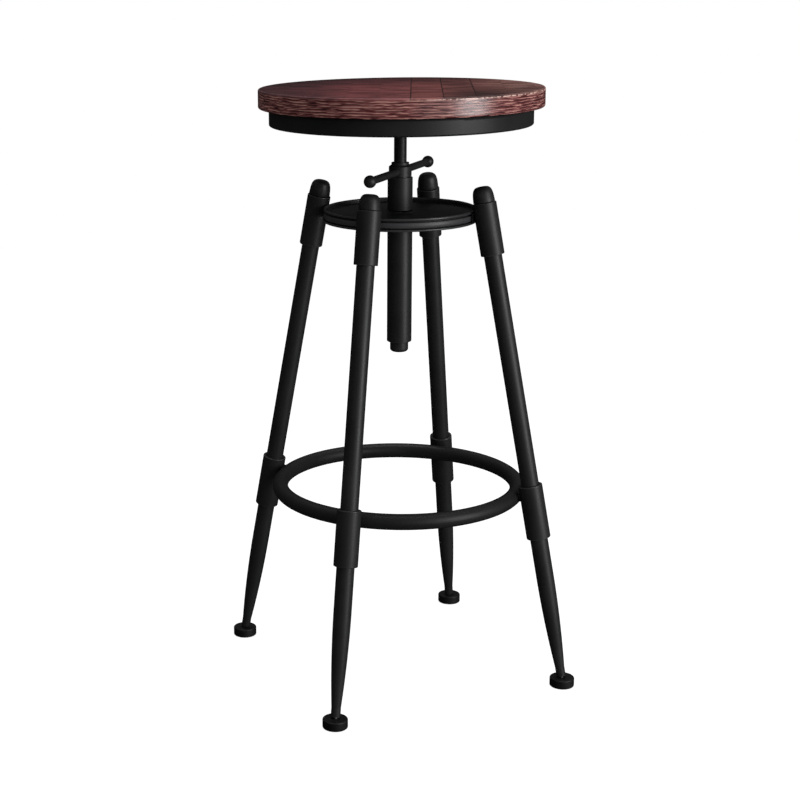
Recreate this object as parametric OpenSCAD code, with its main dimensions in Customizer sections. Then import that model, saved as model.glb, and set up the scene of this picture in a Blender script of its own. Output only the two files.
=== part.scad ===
// Bar stool with a foot ring: a round wooden seat on a pressed steel pan, carried by a screw in a short
// column. Four splayed tube legs hold the column through a dished leg plate and meet a round foot ring.
// The seat turns up and down on its screw, and a lock nut with a ball-ended bar jams the screw.
// Origin on the floor below the column, +Z up. One leg stands on each of +X, +Y, -X and -Y; front is -Y.

/* [Seat board] */
// Diameter of the wooden seat board
board_d = 300; // [260:1:360]
// Thickness of the wooden seat board
board_t = 20; // [16:0.5:30]
// Radius of the board's rounded edges
board_edge_r = 2; // [1:0.25:5]

/* [Seat pan] */
// How far the board reaches past the pan all round
board_overhang = 11.25; // [5:0.25:25]
// Height of the pan, over its top sheet and its skirt
pan_h = 18.5; // [16:0.5:30]
// Thickness of the pan's steel sheet
pan_sheet = 1.5; // [1:0.25:2.5]
// Outer radius of the bend between the pan's top and its skirt
pan_bend_r = 4; // [3:0.5:8]
// Thickness of the rolled hem at the foot of the skirt
pan_hem_d = 3.6; // [2.6:0.2:5]

/* [Seat hub] */
// Diameter of the hub's flange
hub_flange_d = 90; // [70:1:140]
// Thickness of the hub's flange
hub_flange_t = 4; // [3:0.5:6]
// Diameter of the hub's boss
hub_boss_d = 30; // [22:0.5:40]
// Length of the boss below the flange
hub_boss_len = 18.5; // [12:0.5:30]
// Steel left between the screw's end and the pan
hub_roof = 3; // [1:0.5:3]
// Size of the weld between the boss and the flange
hub_weld = 3; // [1:0.5:5]

/* [Seat bolts] */
// Number of bolts that hold the hub to the board
seat_bolt_count = 4; // [3:1:6]
// Diameter of the circle that the seat bolts stand on
seat_bolt_circle_d = 66; // [52:1:76]
// Angle of the first seat bolt from +X, in degrees
seat_bolt_start = 45; // [0:5:90]
// Shank diameter of a seat bolt
seat_bolt_d = 5; // [4:0.5:6]
// Shank length of a seat bolt
seat_bolt_len = 18; // [12:1:20]
// Head diameter of a seat bolt
seat_bolt_head_d = 9.5; // [8:0.5:12]
// Head height of a seat bolt
seat_bolt_head_h = 3; // [2:0.25:5]

/* [Seat screw] */
// Outer diameter of the seat screw
screw_d = 13.5; // [12:0.5:16]
// How far the seat rises from its lowest place
seat_travel = 140; // [60:5:200]
// Length of bare shank between the lock nut and the hub, with the seat at its lowest
hand_room = 34.5; // [30:0.1:60]
// Diameter of the turned-down foot that carries the stop washer
screw_foot_d = 9; // [8:0.25:10]
// Outer diameter of the stop washer
stop_washer_d = 20.5; // [17:0.5:21]
// Thickness of the stop washer
stop_washer_t = 2.5; // [1.5:0.25:4]
// Width across the flats of the stop bolt's head
stop_bolt_flats = 10; // [9.5:0.5:12]
// Height of the stop bolt's head
stop_bolt_head_h = 4; // [3:0.5:6]
// Shank diameter of the stop bolt
stop_bolt_d = 6; // [5:0.5:6]
// Shank length of the stop bolt
stop_bolt_len = 14; // [8:1:20]

/* [Lock nut] */
// Diameter of the lock nut's body
lock_nut_d = 24.2; // [22.5:0.1:30]
// Height of the lock nut over its neck
lock_nut_h = 14.2; // [12.4:0.2:18]
// Diameter of the lock nut's neck
lock_neck_d = 18.8; // [16:0.2:21]
// Height of the lock nut's neck
lock_neck_h = 2.4; // [0.5:0.1:3]
// Height of the bevel between the neck and the body
lock_bevel_h = 1.8; // [0.5:0.1:3]
// Thickness of the thrust washer below the lock nut
lock_washer_t = 1.2; // [0.8:0.1:2]
// How far the lock nut reaches past its thrust washer all round
lock_washer_inset = 0.5; // [0.2:0.1:1]
// Height of the bar's axis above the foot of the lock nut
lock_bar_rise = 4.7; // [4.4:0.1:6]
// Diameter of the bar
lock_bar_d = 8; // [5:0.25:8.25]
// Distance from the screw's axis to the middle of each ball knob
lock_bar_reach = 91; // [70:1:110]
// Steel left between the screw's thread and the arm's seat in the nut
lock_arm_wall = 1.5; // [1:0.25:2]
// Diameter of the ball knobs
knob_d = 13; // [11:0.5:16]
// Depth of the arm's seat in a ball knob
knob_bore_len = 8; // [5:0.5:9]

/* [Column] */
// Outer diameter of the column tube
column_d = 26.7; // [26:0.1:34]
// Wall of the column tube
column_wall = 2; // [1.5:0.25:2.5]
// Height of the column's upper end above the foot of the leg plate
column_rise = 46.3; // [42:0.1:80]
// Length of the threaded bush in the column's upper end
column_nut_len = 24; // [15:1:40]
// Length of the end plug inside the column
plug_insert_len = 10; // [6:1:15]
// Diameter of the end plug below the column
plug_d = 19.8; // [18.5:0.1:21]
// How far the end plug reaches below the column
plug_drop = 11.5; // [8:0.5:25]
// Inner diameter of the end plug
plug_bore_d = 15; // [14.5:0.5:16]
// Radius of the end plug's rounded foot
plug_edge_r = 3.5; // [1:0.5:4]
// Thickness of the end plug's floor
plug_floor = 2.5; // [1.5:0.5:4]

/* [Leg plate] */
// Height of the leg plate's lower edge above the floor
plate_z = 504.7; // [460:0.1:600]
// Height of the leg plate's rim
plate_h = 13.8; // [12:0.1:20]
// Thickness of the leg plate's sheet
plate_sheet = 2; // [1.5:0.25:3]
// Depth of the dish inside the rim
plate_dish = 4.9; // [3:0.1:7]
// Diameter of the bead along the rim's upper lip
plate_lip_d = 3; // [2.4:0.1:3.6]
// Diameter of the bead along the rim's lower hem
plate_hem_d = 2.4; // [2:0.1:3]
// How far the rim's lower hem stands out past the upper lip
plate_hem = 0.8; // [0.4:0.1:1.2]
// How far the rim's wall lies behind its upper lip
plate_recess = 1; // [0.4:0.1:1.2]
// Size of the weld between the leg plate and the column
plate_weld = 3; // [1:0.5:5]

/* [Legs] */
// Distance from the column's axis to each foot's ball
foot_r = 191.5; // [160:0.5:240]
// Lean of the legs from upright, in degrees
leg_lean = 10.7; // [6:0.1:14]
// Outer diameter of the leg tubes
leg_d = 19.05; // [18:0.05:22]
// Wall of the leg tubes
leg_wall = 1.5; // [1:0.25:2]
// Outer diameter of the sleeves at the leg plate
top_sleeve_d = 25; // [24:0.1:30]
// Length of the sleeves at the leg plate
top_sleeve_len = 55.4; // [40:0.1:80]
// How far those sleeves reach below the leg plate's lower edge
top_sleeve_drop = 31.5; // [10:0.5:36]
// Outer diameter of the sleeves at the foot ring
ring_sleeve_d = 25.7; // [24:0.1:30]
// Length of the sleeves at the foot ring
ring_sleeve_len = 59.2; // [45:0.1:90]
// How far those sleeves reach below the foot ring's middle
ring_sleeve_drop = 42; // [15:0.5:46]

/* [Leg caps] */
// Height of a leg cap
cap_h = 17; // [14:0.5:24]
// Diameter of a leg cap at its foot
cap_d = 22.8; // [20:0.1:24]
// Diameter of a leg cap where its rounded edge starts
cap_neck_d = 18.8; // [16:0.1:19.6]
// Radius of a leg cap's rounded edge
cap_edge_r = 3.6; // [1.5:0.1:5]
// Length of a leg cap's spigot inside the tube
cap_spigot_len = 12; // [6:1:25]

/* [Foot ring] */
// Height of the foot ring's middle above the floor
ring_z = 209.6; // [150:0.1:300]
// Outer diameter of the foot ring's tube
ring_tube_d = 17; // [14:0.25:22]
// Wall of the foot ring's tube
ring_wall = 1.5; // [1:0.25:3]

/* [Leg ends] */
// Length over which a leg end narrows
taper_len = 105; // [80:1:140]
// Length of the straight tip below that
tip_straight = 10; // [4:1:16]
// Diameter of a leg end at its tip
tip_d = 10.2; // [9:0.1:12]
// Length of solid steel at the tip
tip_solid = 22; // [18:1:30]

/* [Feet] */
// Diameter of a foot pad
pad_d = 26.7; // [22:0.1:40]
// Height of a foot pad
pad_h = 10; // [9.5:0.25:14]
// Radius of a foot pad's rounded edges
pad_edge_r = 1.4; // [0.5:0.1:3]
// Diameter of the ball on a foot stud
ball_d = 8; // [7.6:0.1:9]
// Height of the ball's middle above the floor
ball_z = 6; // [5.5:0.1:6.5]
// Diameter of a foot stud's neck
stud_d = 4.5; // [4:0.1:5]
// Length of a foot stud inside the leg end
stud_grip = 14; // [8:1:16]
// Diameter of the pad's mouth round the stud
mouth_d = 6.4; // [6.2:0.1:6.8]

/* [Fits] */
// Gap round a shaft that turns in its bore
running_gap = 0.05; // [0.02:0.01:0.08]
// Gap round a tube in its sleeve, a plug in its tube or a bolt in its hole
slip_gap = 0.1; // [0.05:0.05:0.3]
// Gap between faces that turn or lift against each other
face_gap = 0.05; // [0.02:0.01:0.2]
// Gap left before a travel's end
stop_gap = 0.5; // [0.3:0.1:2]
// Gap that a weld closes between curved walls
weld_gap = 0.2; // [0.1:0.05:0.5]

/* [Hidden] */
$fn = 96;
FACETS = 8;
// How far a cutting shape reaches past the face that it opens
OVERCUT = 1;

SIDES = [["right", 0], ["back", 90], ["left", 180], ["front", 270]];
LEG_PIECES = ["leg_cap", "top_sleeve", "leg_tube", "ring_sleeve", "leg_end", "foot_stud", "foot_pad"];

wood = "#4b2f2c";
black_steel = "#242424";
bright_steel = "#8a8a88";
black_plastic = "#1a1a1a";

// Heights of the column and of what stands on it
column_top = plate_z + column_rise;
column_bore_d = column_d - 2 * column_wall;
bush_foot = column_top - column_nut_len;
lock_washer_foot = column_top + face_gap;
lock_nut_foot = lock_washer_foot + lock_washer_t + face_gap;
lock_nut_top = lock_nut_foot + lock_nut_h;
lock_bar_z = lock_nut_foot + lock_bar_rise;
boss_foot = lock_nut_top + hand_room;
flange_foot = boss_foot + hub_boss_len;
pan_sheet_foot = flange_foot + hub_flange_t;
pan_top = pan_sheet_foot + pan_sheet;
pan_foot = pan_top - pan_h;
pan_r = board_d / 2 - board_overhang;

// The seat screw hangs through the bush to its stop washer, which meets the bush at the seat's highest place
screw_top = pan_sheet_foot - hub_roof;
screw_shoulder = bush_foot - stop_gap - seat_travel;
screw_foot = screw_shoulder - stop_washer_t - 2 * face_gap;
threaded_bore_d = screw_d + 2 * running_gap;

// The column is as long as the screw's travel needs
column_foot = screw_foot - stop_gap * 2 - plug_insert_len;
plug_foot = column_foot - plug_drop;

// A leg's own length runs along its axis, from 0 at the foot's ball
function leg_r(z) = foot_r - (z - ball_z) * tan(leg_lean);
function along_leg(z) = (z - ball_z) / cos(leg_lean);
top_sleeve_start = along_leg(plate_z - top_sleeve_drop);
leg_top = top_sleeve_start + top_sleeve_len;
ring_sleeve_start = along_leg(ring_z - ring_sleeve_drop);
leg_joint = ring_sleeve_start + ring_sleeve_len / 2;
leg_bore_d = leg_d - 2 * leg_wall;
sleeve_bore_d = leg_d + 2 * slip_gap;
leg_tip = along_leg(pad_h + stop_gap + tip_d / 2 * sin(leg_lean));
taper_start = leg_tip + tip_straight;
taper_top = taper_start + taper_len;

// The leg plate's rim and the foot ring end at the walls of the sleeves that they are welded to
plate_top = plate_z + plate_h;
plate_r = leg_r(plate_top) - top_sleeve_d / 2 / cos(leg_lean) - weld_gap;
plate_floor_z = plate_top - plate_dish - plate_sheet;
ring_r = leg_r(ring_z) - (ring_sleeve_d / 2 + ring_tube_d / 2 + weld_gap) / cos(leg_lean);

// A ring with a square section
module ring(outer_d, inner_d, h) {
  difference() {
    cylinder(d = outer_d, h = h);
    translate([0, 0, -OVERCUT]) cylinder(d = inner_d, h = h + 2 * OVERCUT);
  }
}

// A disc with both edges rounded
module rounded_disc(d, h, edge_r) {
  rotate_extrude() {
    square([d / 2 - edge_r, h]);
    translate([0, edge_r]) square([d / 2, h - 2 * edge_r]);
    for (z = [edge_r, h - edge_r])
      intersection() {
        translate([d / 2 - edge_r, z]) circle(r = edge_r);
        square([d / 2, h]);
      }
  }
}

// Puts a piece on one leg's axis, with +Z up along the leg from its foot
module on_leg(angle) {
  rotate([0, 0, angle]) translate([foot_r, 0, ball_z]) rotate([0, -leg_lean, 0]) children();
}

module at_seat_bolts() {
  for (i = [0:seat_bolt_count - 1])
    rotate([0, 0, seat_bolt_start + i * 360 / seat_bolt_count])
      translate([seat_bolt_circle_d / 2, 0, 0]) children();
}

// Wooden seat, drilled below for the bolts
module seat_board() {
  hole_depth = seat_bolt_len - hub_flange_t - pan_sheet + stop_gap;
  color(wood) translate([0, 0, pan_top]) difference() {
    rounded_disc(board_d, board_t, board_edge_r);
    at_seat_bolts() translate([0, 0, -OVERCUT])
      cylinder(d = seat_bolt_d + 2 * slip_gap, h = hole_depth + OVERCUT);
  }
}

// Pressed steel pan with its skirt down and a rolled hem
module seat_pan() {
  hem_r = pan_hem_d / 2;
  color(black_steel) difference() {
    translate([0, 0, pan_foot]) rotate_extrude() {
      translate([0, pan_h - pan_sheet]) square([pan_r - pan_bend_r, pan_sheet]);
      translate([pan_r - pan_sheet, hem_r]) square([pan_sheet, pan_h - pan_bend_r - hem_r]);
      translate([pan_r - hem_r, hem_r]) circle(r = hem_r);
      translate([pan_r - pan_bend_r, pan_h - pan_bend_r]) intersection() {
        difference() {
          circle(r = pan_bend_r);
          circle(r = pan_bend_r - pan_sheet);
        }
        square(pan_bend_r);
      }
    }
    at_seat_bolts() translate([0, 0, pan_foot])
      cylinder(d = seat_bolt_d + 2 * slip_gap, h = pan_h + OVERCUT);
  }
}

// Flanged hub that carries the pan and the board on the screw
module seat_hub() {
  color(black_steel) difference() {
    translate([0, 0, boss_foot]) union() {
      cylinder(d = hub_boss_d, h = hub_boss_len);
      translate([0, 0, hub_boss_len]) cylinder(d = hub_flange_d, h = hub_flange_t);
      translate([0, 0, hub_boss_len - hub_weld])
        cylinder(d1 = hub_boss_d, d2 = hub_boss_d + 2 * hub_weld, h = hub_weld);
    }
    translate([0, 0, boss_foot - OVERCUT])
      cylinder(d = screw_d + 2 * running_gap, h = screw_top - boss_foot + OVERCUT);
    at_seat_bolts() translate([0, 0, boss_foot])
      cylinder(d = seat_bolt_d + 2 * slip_gap, h = pan_top - boss_foot);
  }
}

// Bolts through the hub and the pan into the board
module seat_bolts() {
  color(bright_steel) at_seat_bolts() {
    translate([0, 0, flange_foot]) cylinder(d = seat_bolt_d, h = seat_bolt_len);
    translate([0, 0, flange_foot - seat_bolt_head_h]) cylinder(d = seat_bolt_head_d, h = seat_bolt_head_h);
  }
}

// Screw with a turned-down foot, tapped for the stop bolt
module seat_screw() {
  color(black_steel) difference() {
    union() {
      translate([0, 0, screw_shoulder]) cylinder(d = screw_d, h = screw_top - screw_shoulder);
      translate([0, 0, screw_foot]) cylinder(d = screw_foot_d, h = screw_top - screw_foot);
    }
    translate([0, 0, screw_foot - OVERCUT])
      cylinder(d = stop_bolt_d + 2 * running_gap, h = stop_bolt_len + stop_gap + OVERCUT);
  }
}

// Washer that stops the screw from leaving the bush
module stop_washer() {
  color(bright_steel) translate([0, 0, screw_foot + face_gap])
    ring(stop_washer_d, screw_foot_d + 2 * running_gap, stop_washer_t);
}

// Hexagon bolt that holds the stop washer on the screw's foot
module stop_bolt() {
  color(bright_steel) {
    translate([0, 0, screw_foot - stop_bolt_head_h])
      cylinder(d = stop_bolt_flats / cos(30), h = stop_bolt_head_h, $fn = 6);
    translate([0, 0, screw_foot]) cylinder(d = stop_bolt_d, h = stop_bolt_len);
  }
}

// Bevelled round nut with a blind seat for each arm of its bar
module lock_nut() {
  seat_start = screw_d / 2 + lock_arm_wall;
  body_h = lock_nut_h - lock_neck_h - lock_bevel_h;
  color(black_steel) translate([0, 0, lock_nut_foot]) difference() {
    rotate_extrude() polygon([
      [threaded_bore_d / 2, 0], [lock_nut_d / 2, 0],
      [lock_nut_d / 2, body_h], [lock_neck_d / 2, body_h + lock_bevel_h],
      [lock_neck_d / 2, lock_nut_h], [threaded_bore_d / 2, lock_nut_h]
    ]);
    for (a = [90, -90])
      translate([0, 0, lock_bar_rise]) rotate([a, 0, 0]) translate([0, 0, seat_start])
        cylinder(d = lock_bar_d + 2 * running_gap, h = lock_nut_d);
  }
}

// Thrust washer between the lock nut and the column
module lock_washer() {
  color(black_steel) translate([0, 0, lock_washer_foot])
    ring(lock_nut_d - 2 * lock_washer_inset, threaded_bore_d + 2 * slip_gap, lock_washer_t);
}

// One arm of the lock nut's bar; side is 1 at the back and -1 at the front
module lock_arm(side) {
  start = screw_d / 2 + lock_arm_wall;
  end = lock_bar_reach - knob_d / 2 + knob_bore_len;
  color(black_steel) translate([0, 0, lock_bar_z]) rotate([-90 * side, 0, 0]) translate([0, 0, start])
    cylinder(d = lock_bar_d, h = end - start);
}

// Ball knob on the end of an arm, turned from bar with its bore towards the nut
module ball_knob(side) {
  bore_r = lock_bar_d / 2 + running_gap;
  color(black_steel) translate([0, side * lock_bar_reach, lock_bar_z]) rotate([90 * side, 0, 0])
    rotate_extrude() difference() {
      intersection() {
        circle(d = knob_d);
        translate([0, -knob_d]) square([knob_d, 2 * knob_d]);
      }
      translate([-bore_r, knob_d / 2 - knob_bore_len]) square([2 * bore_r, knob_d]);
    }
}

module column_tube() {
  color(black_steel) translate([0, 0, column_foot]) ring(column_d, column_bore_d, column_top - column_foot);
}

// Threaded bush, pressed into the column's upper end
module column_nut() {
  color(bright_steel) translate([0, 0, bush_foot])
    ring(column_bore_d - 2 * running_gap, threaded_bore_d, column_nut_len);
}

// Hollow end plug, with room for the foot of the screw
module column_plug() {
  color(black_plastic) difference() {
    union() {
      translate([0, 0, plug_foot]) rounded_disc(plug_d, plug_drop, plug_edge_r);
      translate([0, 0, column_foot - plug_edge_r]) cylinder(d = plug_d, h = plug_edge_r);
      translate([0, 0, column_foot]) cylinder(d = column_bore_d - 2 * running_gap, h = plug_insert_len);
    }
    translate([0, 0, plug_foot + plug_floor]) cylinder(d = plug_bore_d, h = plug_drop + plug_insert_len);
  }
}

// Dished plate with a beaded rim, welded to the column and the four top sleeves
module leg_plate() {
  hole_r = column_d / 2 + slip_gap;
  wall_r = plate_r - plate_recess - plate_sheet;
  lip_r = plate_lip_d / 2;
  hem_r = plate_hem_d / 2;
  hem_middle = plate_r + plate_hem - hem_r;
  color(black_steel) rotate_extrude() {
    translate([hole_r, plate_floor_z]) square([wall_r + plate_sheet / 2 - hole_r, plate_sheet]);
    translate([wall_r, plate_z]) square([plate_sheet, plate_h - lip_r]);
    translate([plate_r - lip_r, plate_top - lip_r]) circle(r = lip_r);
    translate([wall_r, plate_z]) square([hem_middle - wall_r, hem_r]);
    translate([hem_middle, plate_z + hem_r]) circle(r = hem_r);
    polygon([
      [hole_r, plate_floor_z + plate_sheet], [hole_r + plate_weld, plate_floor_z + plate_sheet],
      [hole_r, plate_floor_z + plate_sheet + plate_weld]
    ]);
  }
}

// Round tube that the feet rest on
module foot_ring() {
  color(black_steel) translate([0, 0, ring_z]) rotate_extrude() translate([ring_r, 0]) difference() {
    circle(d = ring_tube_d);
    circle(d = ring_tube_d - 2 * ring_wall);
  }
}

module leg_tube() {
  color(black_steel) translate([0, 0, leg_joint]) ring(leg_d, leg_bore_d, leg_top - leg_joint);
}

module top_sleeve() {
  color(black_steel) translate([0, 0, top_sleeve_start]) ring(top_sleeve_d, sleeve_bore_d, top_sleeve_len);
}

module ring_sleeve() {
  color(black_steel) translate([0, 0, ring_sleeve_start]) ring(ring_sleeve_d, sleeve_bore_d, ring_sleeve_len);
}

// Bullet-shaped cap with a spigot in the leg tube
module leg_cap() {
  inset = (cap_d - cap_neck_d) / 2;
  lean = 2 * atan(inset / (cap_h - cap_edge_r));
  side_h = cap_h - cap_edge_r * (1 - sin(lean));
  side_r = (side_h * side_h + inset * inset) / (2 * inset);
  side_arc = [for (i = [0:FACETS]) let (h = side_h * i / FACETS)
    [cap_d / 2 - side_r + sqrt(side_r * side_r - h * h), h]];
  edge_arc = [for (i = [1:FACETS]) let (a = lean + (90 - lean) * i / FACETS)
    [cap_neck_d / 2 - cap_edge_r * (cos(lean) - cos(a)), side_h + cap_edge_r * (sin(a) - sin(lean))]];
  color(black_plastic) translate([0, 0, leg_top]) {
    rotate_extrude() polygon(concat([[0, 0]], side_arc, edge_arc, [[0, cap_h]]));
    translate([0, 0, -cap_spigot_len]) cylinder(d = leg_bore_d - 2 * slip_gap, h = cap_spigot_len);
  }
}

// Lower end of a leg: a tube swaged along one long curve to a straight, solid tip
module leg_end() {
  inset = (leg_d - tip_d) / 2;
  curve_r = (taper_len * taper_len + inset * inset) / (2 * inset);
  function leg_end_r(s) = leg_d / 2 - curve_r + sqrt(curve_r * curve_r - (taper_top - s) * (taper_top - s));
  bore_start = leg_tip + tip_solid;
  outside = [for (i = [0:2 * FACETS]) let (s = taper_start + taper_len * i / (2 * FACETS)) [leg_end_r(s), s]];
  inside = [for (i = [2 * FACETS:-1:0]) let (s = bore_start + (taper_top - bore_start) * i / (2 * FACETS))
    [leg_end_r(s) - leg_wall, s]];
  color(black_steel) difference() {
    rotate_extrude() polygon(concat(
      [[0, leg_tip], [tip_d / 2, leg_tip]], outside,
      [[leg_d / 2, leg_joint], [leg_bore_d / 2, leg_joint]], inside, [[0, bore_start]]
    ));
    cylinder(d = stud_d + 2 * running_gap, h = leg_tip + stud_grip + stop_gap);
  }
}

// Stud with a ball that the foot pad swivels on
module foot_stud() {
  color(bright_steel) {
    sphere(d = ball_d);
    cylinder(d = stud_d, h = leg_tip + stud_grip);
  }
}

// Round pad with a ball socket, standing flat on the floor
module foot_pad(angle) {
  color(black_plastic) rotate([0, 0, angle]) translate([foot_r, 0, 0]) difference() {
    rounded_disc(pad_d, pad_h, pad_edge_r);
    translate([0, 0, ball_z]) {
      sphere(d = ball_d + 2 * running_gap);
      cylinder(d = mouth_d, h = pad_h);
    }
  }
}

seat_board();
seat_pan();
seat_hub();
seat_bolts();
seat_screw();
stop_washer();
stop_bolt();
lock_nut();
lock_washer();
lock_arm(-1);  // lock_arm_front
lock_arm(1);  // lock_arm_back
ball_knob(-1);  // ball_knob_front
ball_knob(1);  // ball_knob_back
column_tube();
column_nut();
column_plug();
leg_plate();
foot_ring();
for (side = SIDES) {
  on_leg(side[1]) leg_cap();
  on_leg(side[1]) top_sleeve();
  on_leg(side[1]) leg_tube();
  on_leg(side[1]) ring_sleeve();
  on_leg(side[1]) leg_end();
  on_leg(side[1]) foot_stud();
  foot_pad(side[1]);
}
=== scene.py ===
"""Bar stool with a foot ring, dressed in its finishes.

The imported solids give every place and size. This script gives them their coats, and builds the pieces whose
detail the solids leave out: the brushed seat board, the threaded screw, the button-head bolts, the rolled leg
plate, the moulded leg caps, the weld beads and the eased edges of the sleeves.
"""

from __future__ import annotations

import logging
import math
from dataclasses import dataclass, field
from enum import Enum
from functools import partial
from typing import Any, Callable, Sequence

import bmesh
import bpy
from mathutils import Matrix, Vector

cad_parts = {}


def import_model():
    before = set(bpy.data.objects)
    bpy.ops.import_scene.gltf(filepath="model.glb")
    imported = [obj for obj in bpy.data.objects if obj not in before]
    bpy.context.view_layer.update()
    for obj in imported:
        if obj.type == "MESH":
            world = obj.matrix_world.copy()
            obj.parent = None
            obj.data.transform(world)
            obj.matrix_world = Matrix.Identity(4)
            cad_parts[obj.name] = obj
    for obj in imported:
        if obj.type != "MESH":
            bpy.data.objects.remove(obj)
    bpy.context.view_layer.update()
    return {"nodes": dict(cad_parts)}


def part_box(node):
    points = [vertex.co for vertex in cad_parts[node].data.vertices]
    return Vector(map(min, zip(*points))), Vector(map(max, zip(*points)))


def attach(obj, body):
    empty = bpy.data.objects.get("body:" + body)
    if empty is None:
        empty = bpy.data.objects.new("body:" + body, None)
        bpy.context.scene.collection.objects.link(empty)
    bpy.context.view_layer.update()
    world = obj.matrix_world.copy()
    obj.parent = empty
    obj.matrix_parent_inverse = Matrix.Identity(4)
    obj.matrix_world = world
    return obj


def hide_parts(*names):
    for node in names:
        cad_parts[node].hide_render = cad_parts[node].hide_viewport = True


LOG = logging.getLogger("bar_stool")
MM = 0.001

# Points this close are one point, and heights this close are one height
SAME_POINT = 0.002 * MM
SAME_HEIGHT = 0.0001 * MM

# A face whose normal climbs at least this much faces upwards
UPWARDS = 0.9

# Columns round a small turned piece, and how far the leg plate's upper bead lies inside its lower one
SMALL_COLUMNS = 64
LIP_INSET = 0.8 * MM


class Body(Enum):
    """The moving bodies that a piece can ride on."""

    STAND = "stand"
    SEAT = "seat"
    LOCK = "lock"


class Slot(Enum):
    """The record's material slots."""

    WOOD = "seat_wood"
    BLACK_STEEL = "black_steel"
    BRIGHT_STEEL = "bright_steel"
    PLASTIC = "black_plastic"


class Side(Enum):
    """The four legs, each with its turn about the column in degrees."""

    RIGHT = 0
    BACK = 90
    LEFT = 180
    FRONT = 270

    def node(self, kind: str) -> str:
        """Name of this leg's CAD node of one kind."""
        return f"{kind}_{self.name.lower()}"

    def axes(self) -> tuple[Vector, Vector]:
        """Level directions at this leg: outwards, and along the foot ring."""
        angle = math.radians(self.value)
        out = Vector((math.cos(angle), math.sin(angle), 0.0))
        return out, Vector((-out.y, out.x, 0.0))


# ---------------------------------------------------------------------------------------------------------
# Node and mesh helpers


def linear(hex_colour: str) -> tuple[float, float, float, float]:
    """Turns an sRGB colour into the linear one that a shader takes.

    Args:
        hex_colour: The colour as "#rrggbb".

    Returns:
        Red, green, blue and an alpha of 1.
    """
    parts = [int(hex_colour[i : i + 2], 16) / 255 for i in (1, 3, 5)]
    lin = [c / 12.92 if c <= 0.04045 else ((c + 0.055) / 1.055) ** 2.4 for c in parts]
    return (lin[0], lin[1], lin[2], 1.0)


def per_mm(size: float) -> float:
    """Texture scale at which one feature measures that many millimetres on Object coordinates."""
    return 1.0 / (size * MM)


def add_node(
    tree: bpy.types.NodeTree,
    kind: str,
    inputs: dict[str, Any] | Sequence[Any] = (),
    out: str | int = 0,
    stops: Sequence[tuple[float, str]] = (),
    **settings: Any,
) -> Any:
    """Adds a node, sets it up and links it.

    Args:
        tree: The tree that gets the node.
        kind: The node's type name.
        inputs: Values or output sockets by input name, or in the order of the node's inputs.
        out: Name or number of the output to hand back.
        stops: Positions and colours of a colour ramp.
        **settings: Properties of the node itself.

    Returns:
        The output's socket, or nothing for a node that ends its tree.
    """
    node = tree.nodes.new(kind)
    for name, value in settings.items():
        setattr(node, name, value)
    for key, value in inputs.items() if isinstance(inputs, dict) else enumerate(inputs):
        if isinstance(value, bpy.types.NodeSocket):
            tree.links.new(value, node.inputs[key])
        else:
            node.inputs[key].default_value = value
    if stops:
        ramp = node.color_ramp
        while len(ramp.elements) < len(stops):
            ramp.elements.new(0.5)
        for element, (position, colour) in zip(ramp.elements, stops):
            element.position = position
            element.color = linear(colour)
    return node.outputs[out] if node.outputs else None


def bare_tree(owner: bpy.types.Material | bpy.types.World) -> bpy.types.NodeTree:
    """Switches on the nodes of a material or a world and clears them.

    Args:
        owner: The material or world.

    Returns:
        Its empty tree.
    """
    owner.use_nodes = True
    owner.node_tree.nodes.clear()
    return owner.node_tree


def new_material(name: str, base: str, roughness: float, **fixed: float) -> tuple[Any, Any, Any]:
    """Starts a material with one Principled shader.

    Args:
        name: The material's name.
        base: Base colour as "#rrggbb".
        roughness: Roughness before any pattern.
        **fixed: Other single values, by input name with underscores for spaces.

    Returns:
        The material, its tree and its Principled node.
    """
    material = bpy.data.materials.new(name)
    material.use_nodes = True
    tree = material.node_tree
    shader = tree.nodes["Principled BSDF"]
    shader.inputs["Base Color"].default_value = linear(base)
    shader.inputs["Roughness"].default_value = roughness
    for key, value in fixed.items():
        shader.inputs[key.replace("_", " ")].default_value = value
    material.diffuse_color = linear(base)
    return material, tree, shader


def mesh_object(
    name: str,
    vertices: Sequence[Sequence[float]],
    faces: Sequence[Sequence[int]] = (),
    edges: Sequence[Sequence[int]] = (),
    smooth: bool = True,
) -> bpy.types.Object:
    """Makes an object of a mesh given point by point.

    Args:
        name: Name of the object and its mesh.
        vertices: Points in metres, in the stool's frame.
        faces: Corners of each face.
        edges: Loose edges, for a path.
        smooth: Whether its faces are shaded smooth.

    Returns:
        The object, linked to the scene.
    """
    mesh = bpy.data.meshes.new(name)
    mesh.from_pydata([tuple(v) for v in vertices], [tuple(e) for e in edges], [tuple(f) for f in faces])
    if faces:
        mesh.polygons.foreach_set("use_smooth", [smooth] * len(mesh.polygons))
    mesh.update()
    return linked(name, mesh)


def linked(name: str, data: Any) -> bpy.types.Object:
    """Puts a mesh, a lamp or a camera into the scene as an object.

    Args:
        name: The object's name.
        data: What it shows.

    Returns:
        The object, at the origin.
    """
    thing = bpy.data.objects.new(name, data)
    bpy.context.scene.collection.objects.link(thing)
    return thing


def path_object(name: str, runs: Sequence[Sequence[Vector]], closed: bool) -> bpy.types.Object:
    """Makes an object of bare paths.

    Args:
        name: Name of the object and its mesh.
        runs: The points of each path in turn.
        closed: Whether each path returns to its start.

    Returns:
        The object, which has edges and no faces.
    """
    points: list[Vector] = []
    edges: list[tuple[int, int]] = []
    for run in runs:
        first, count = len(points), len(run)
        points += run
        edges += [(first + i, first + (i + 1) % count) for i in range(count if closed else count - 1)]
    return mesh_object(name, points, edges=edges)


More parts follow.
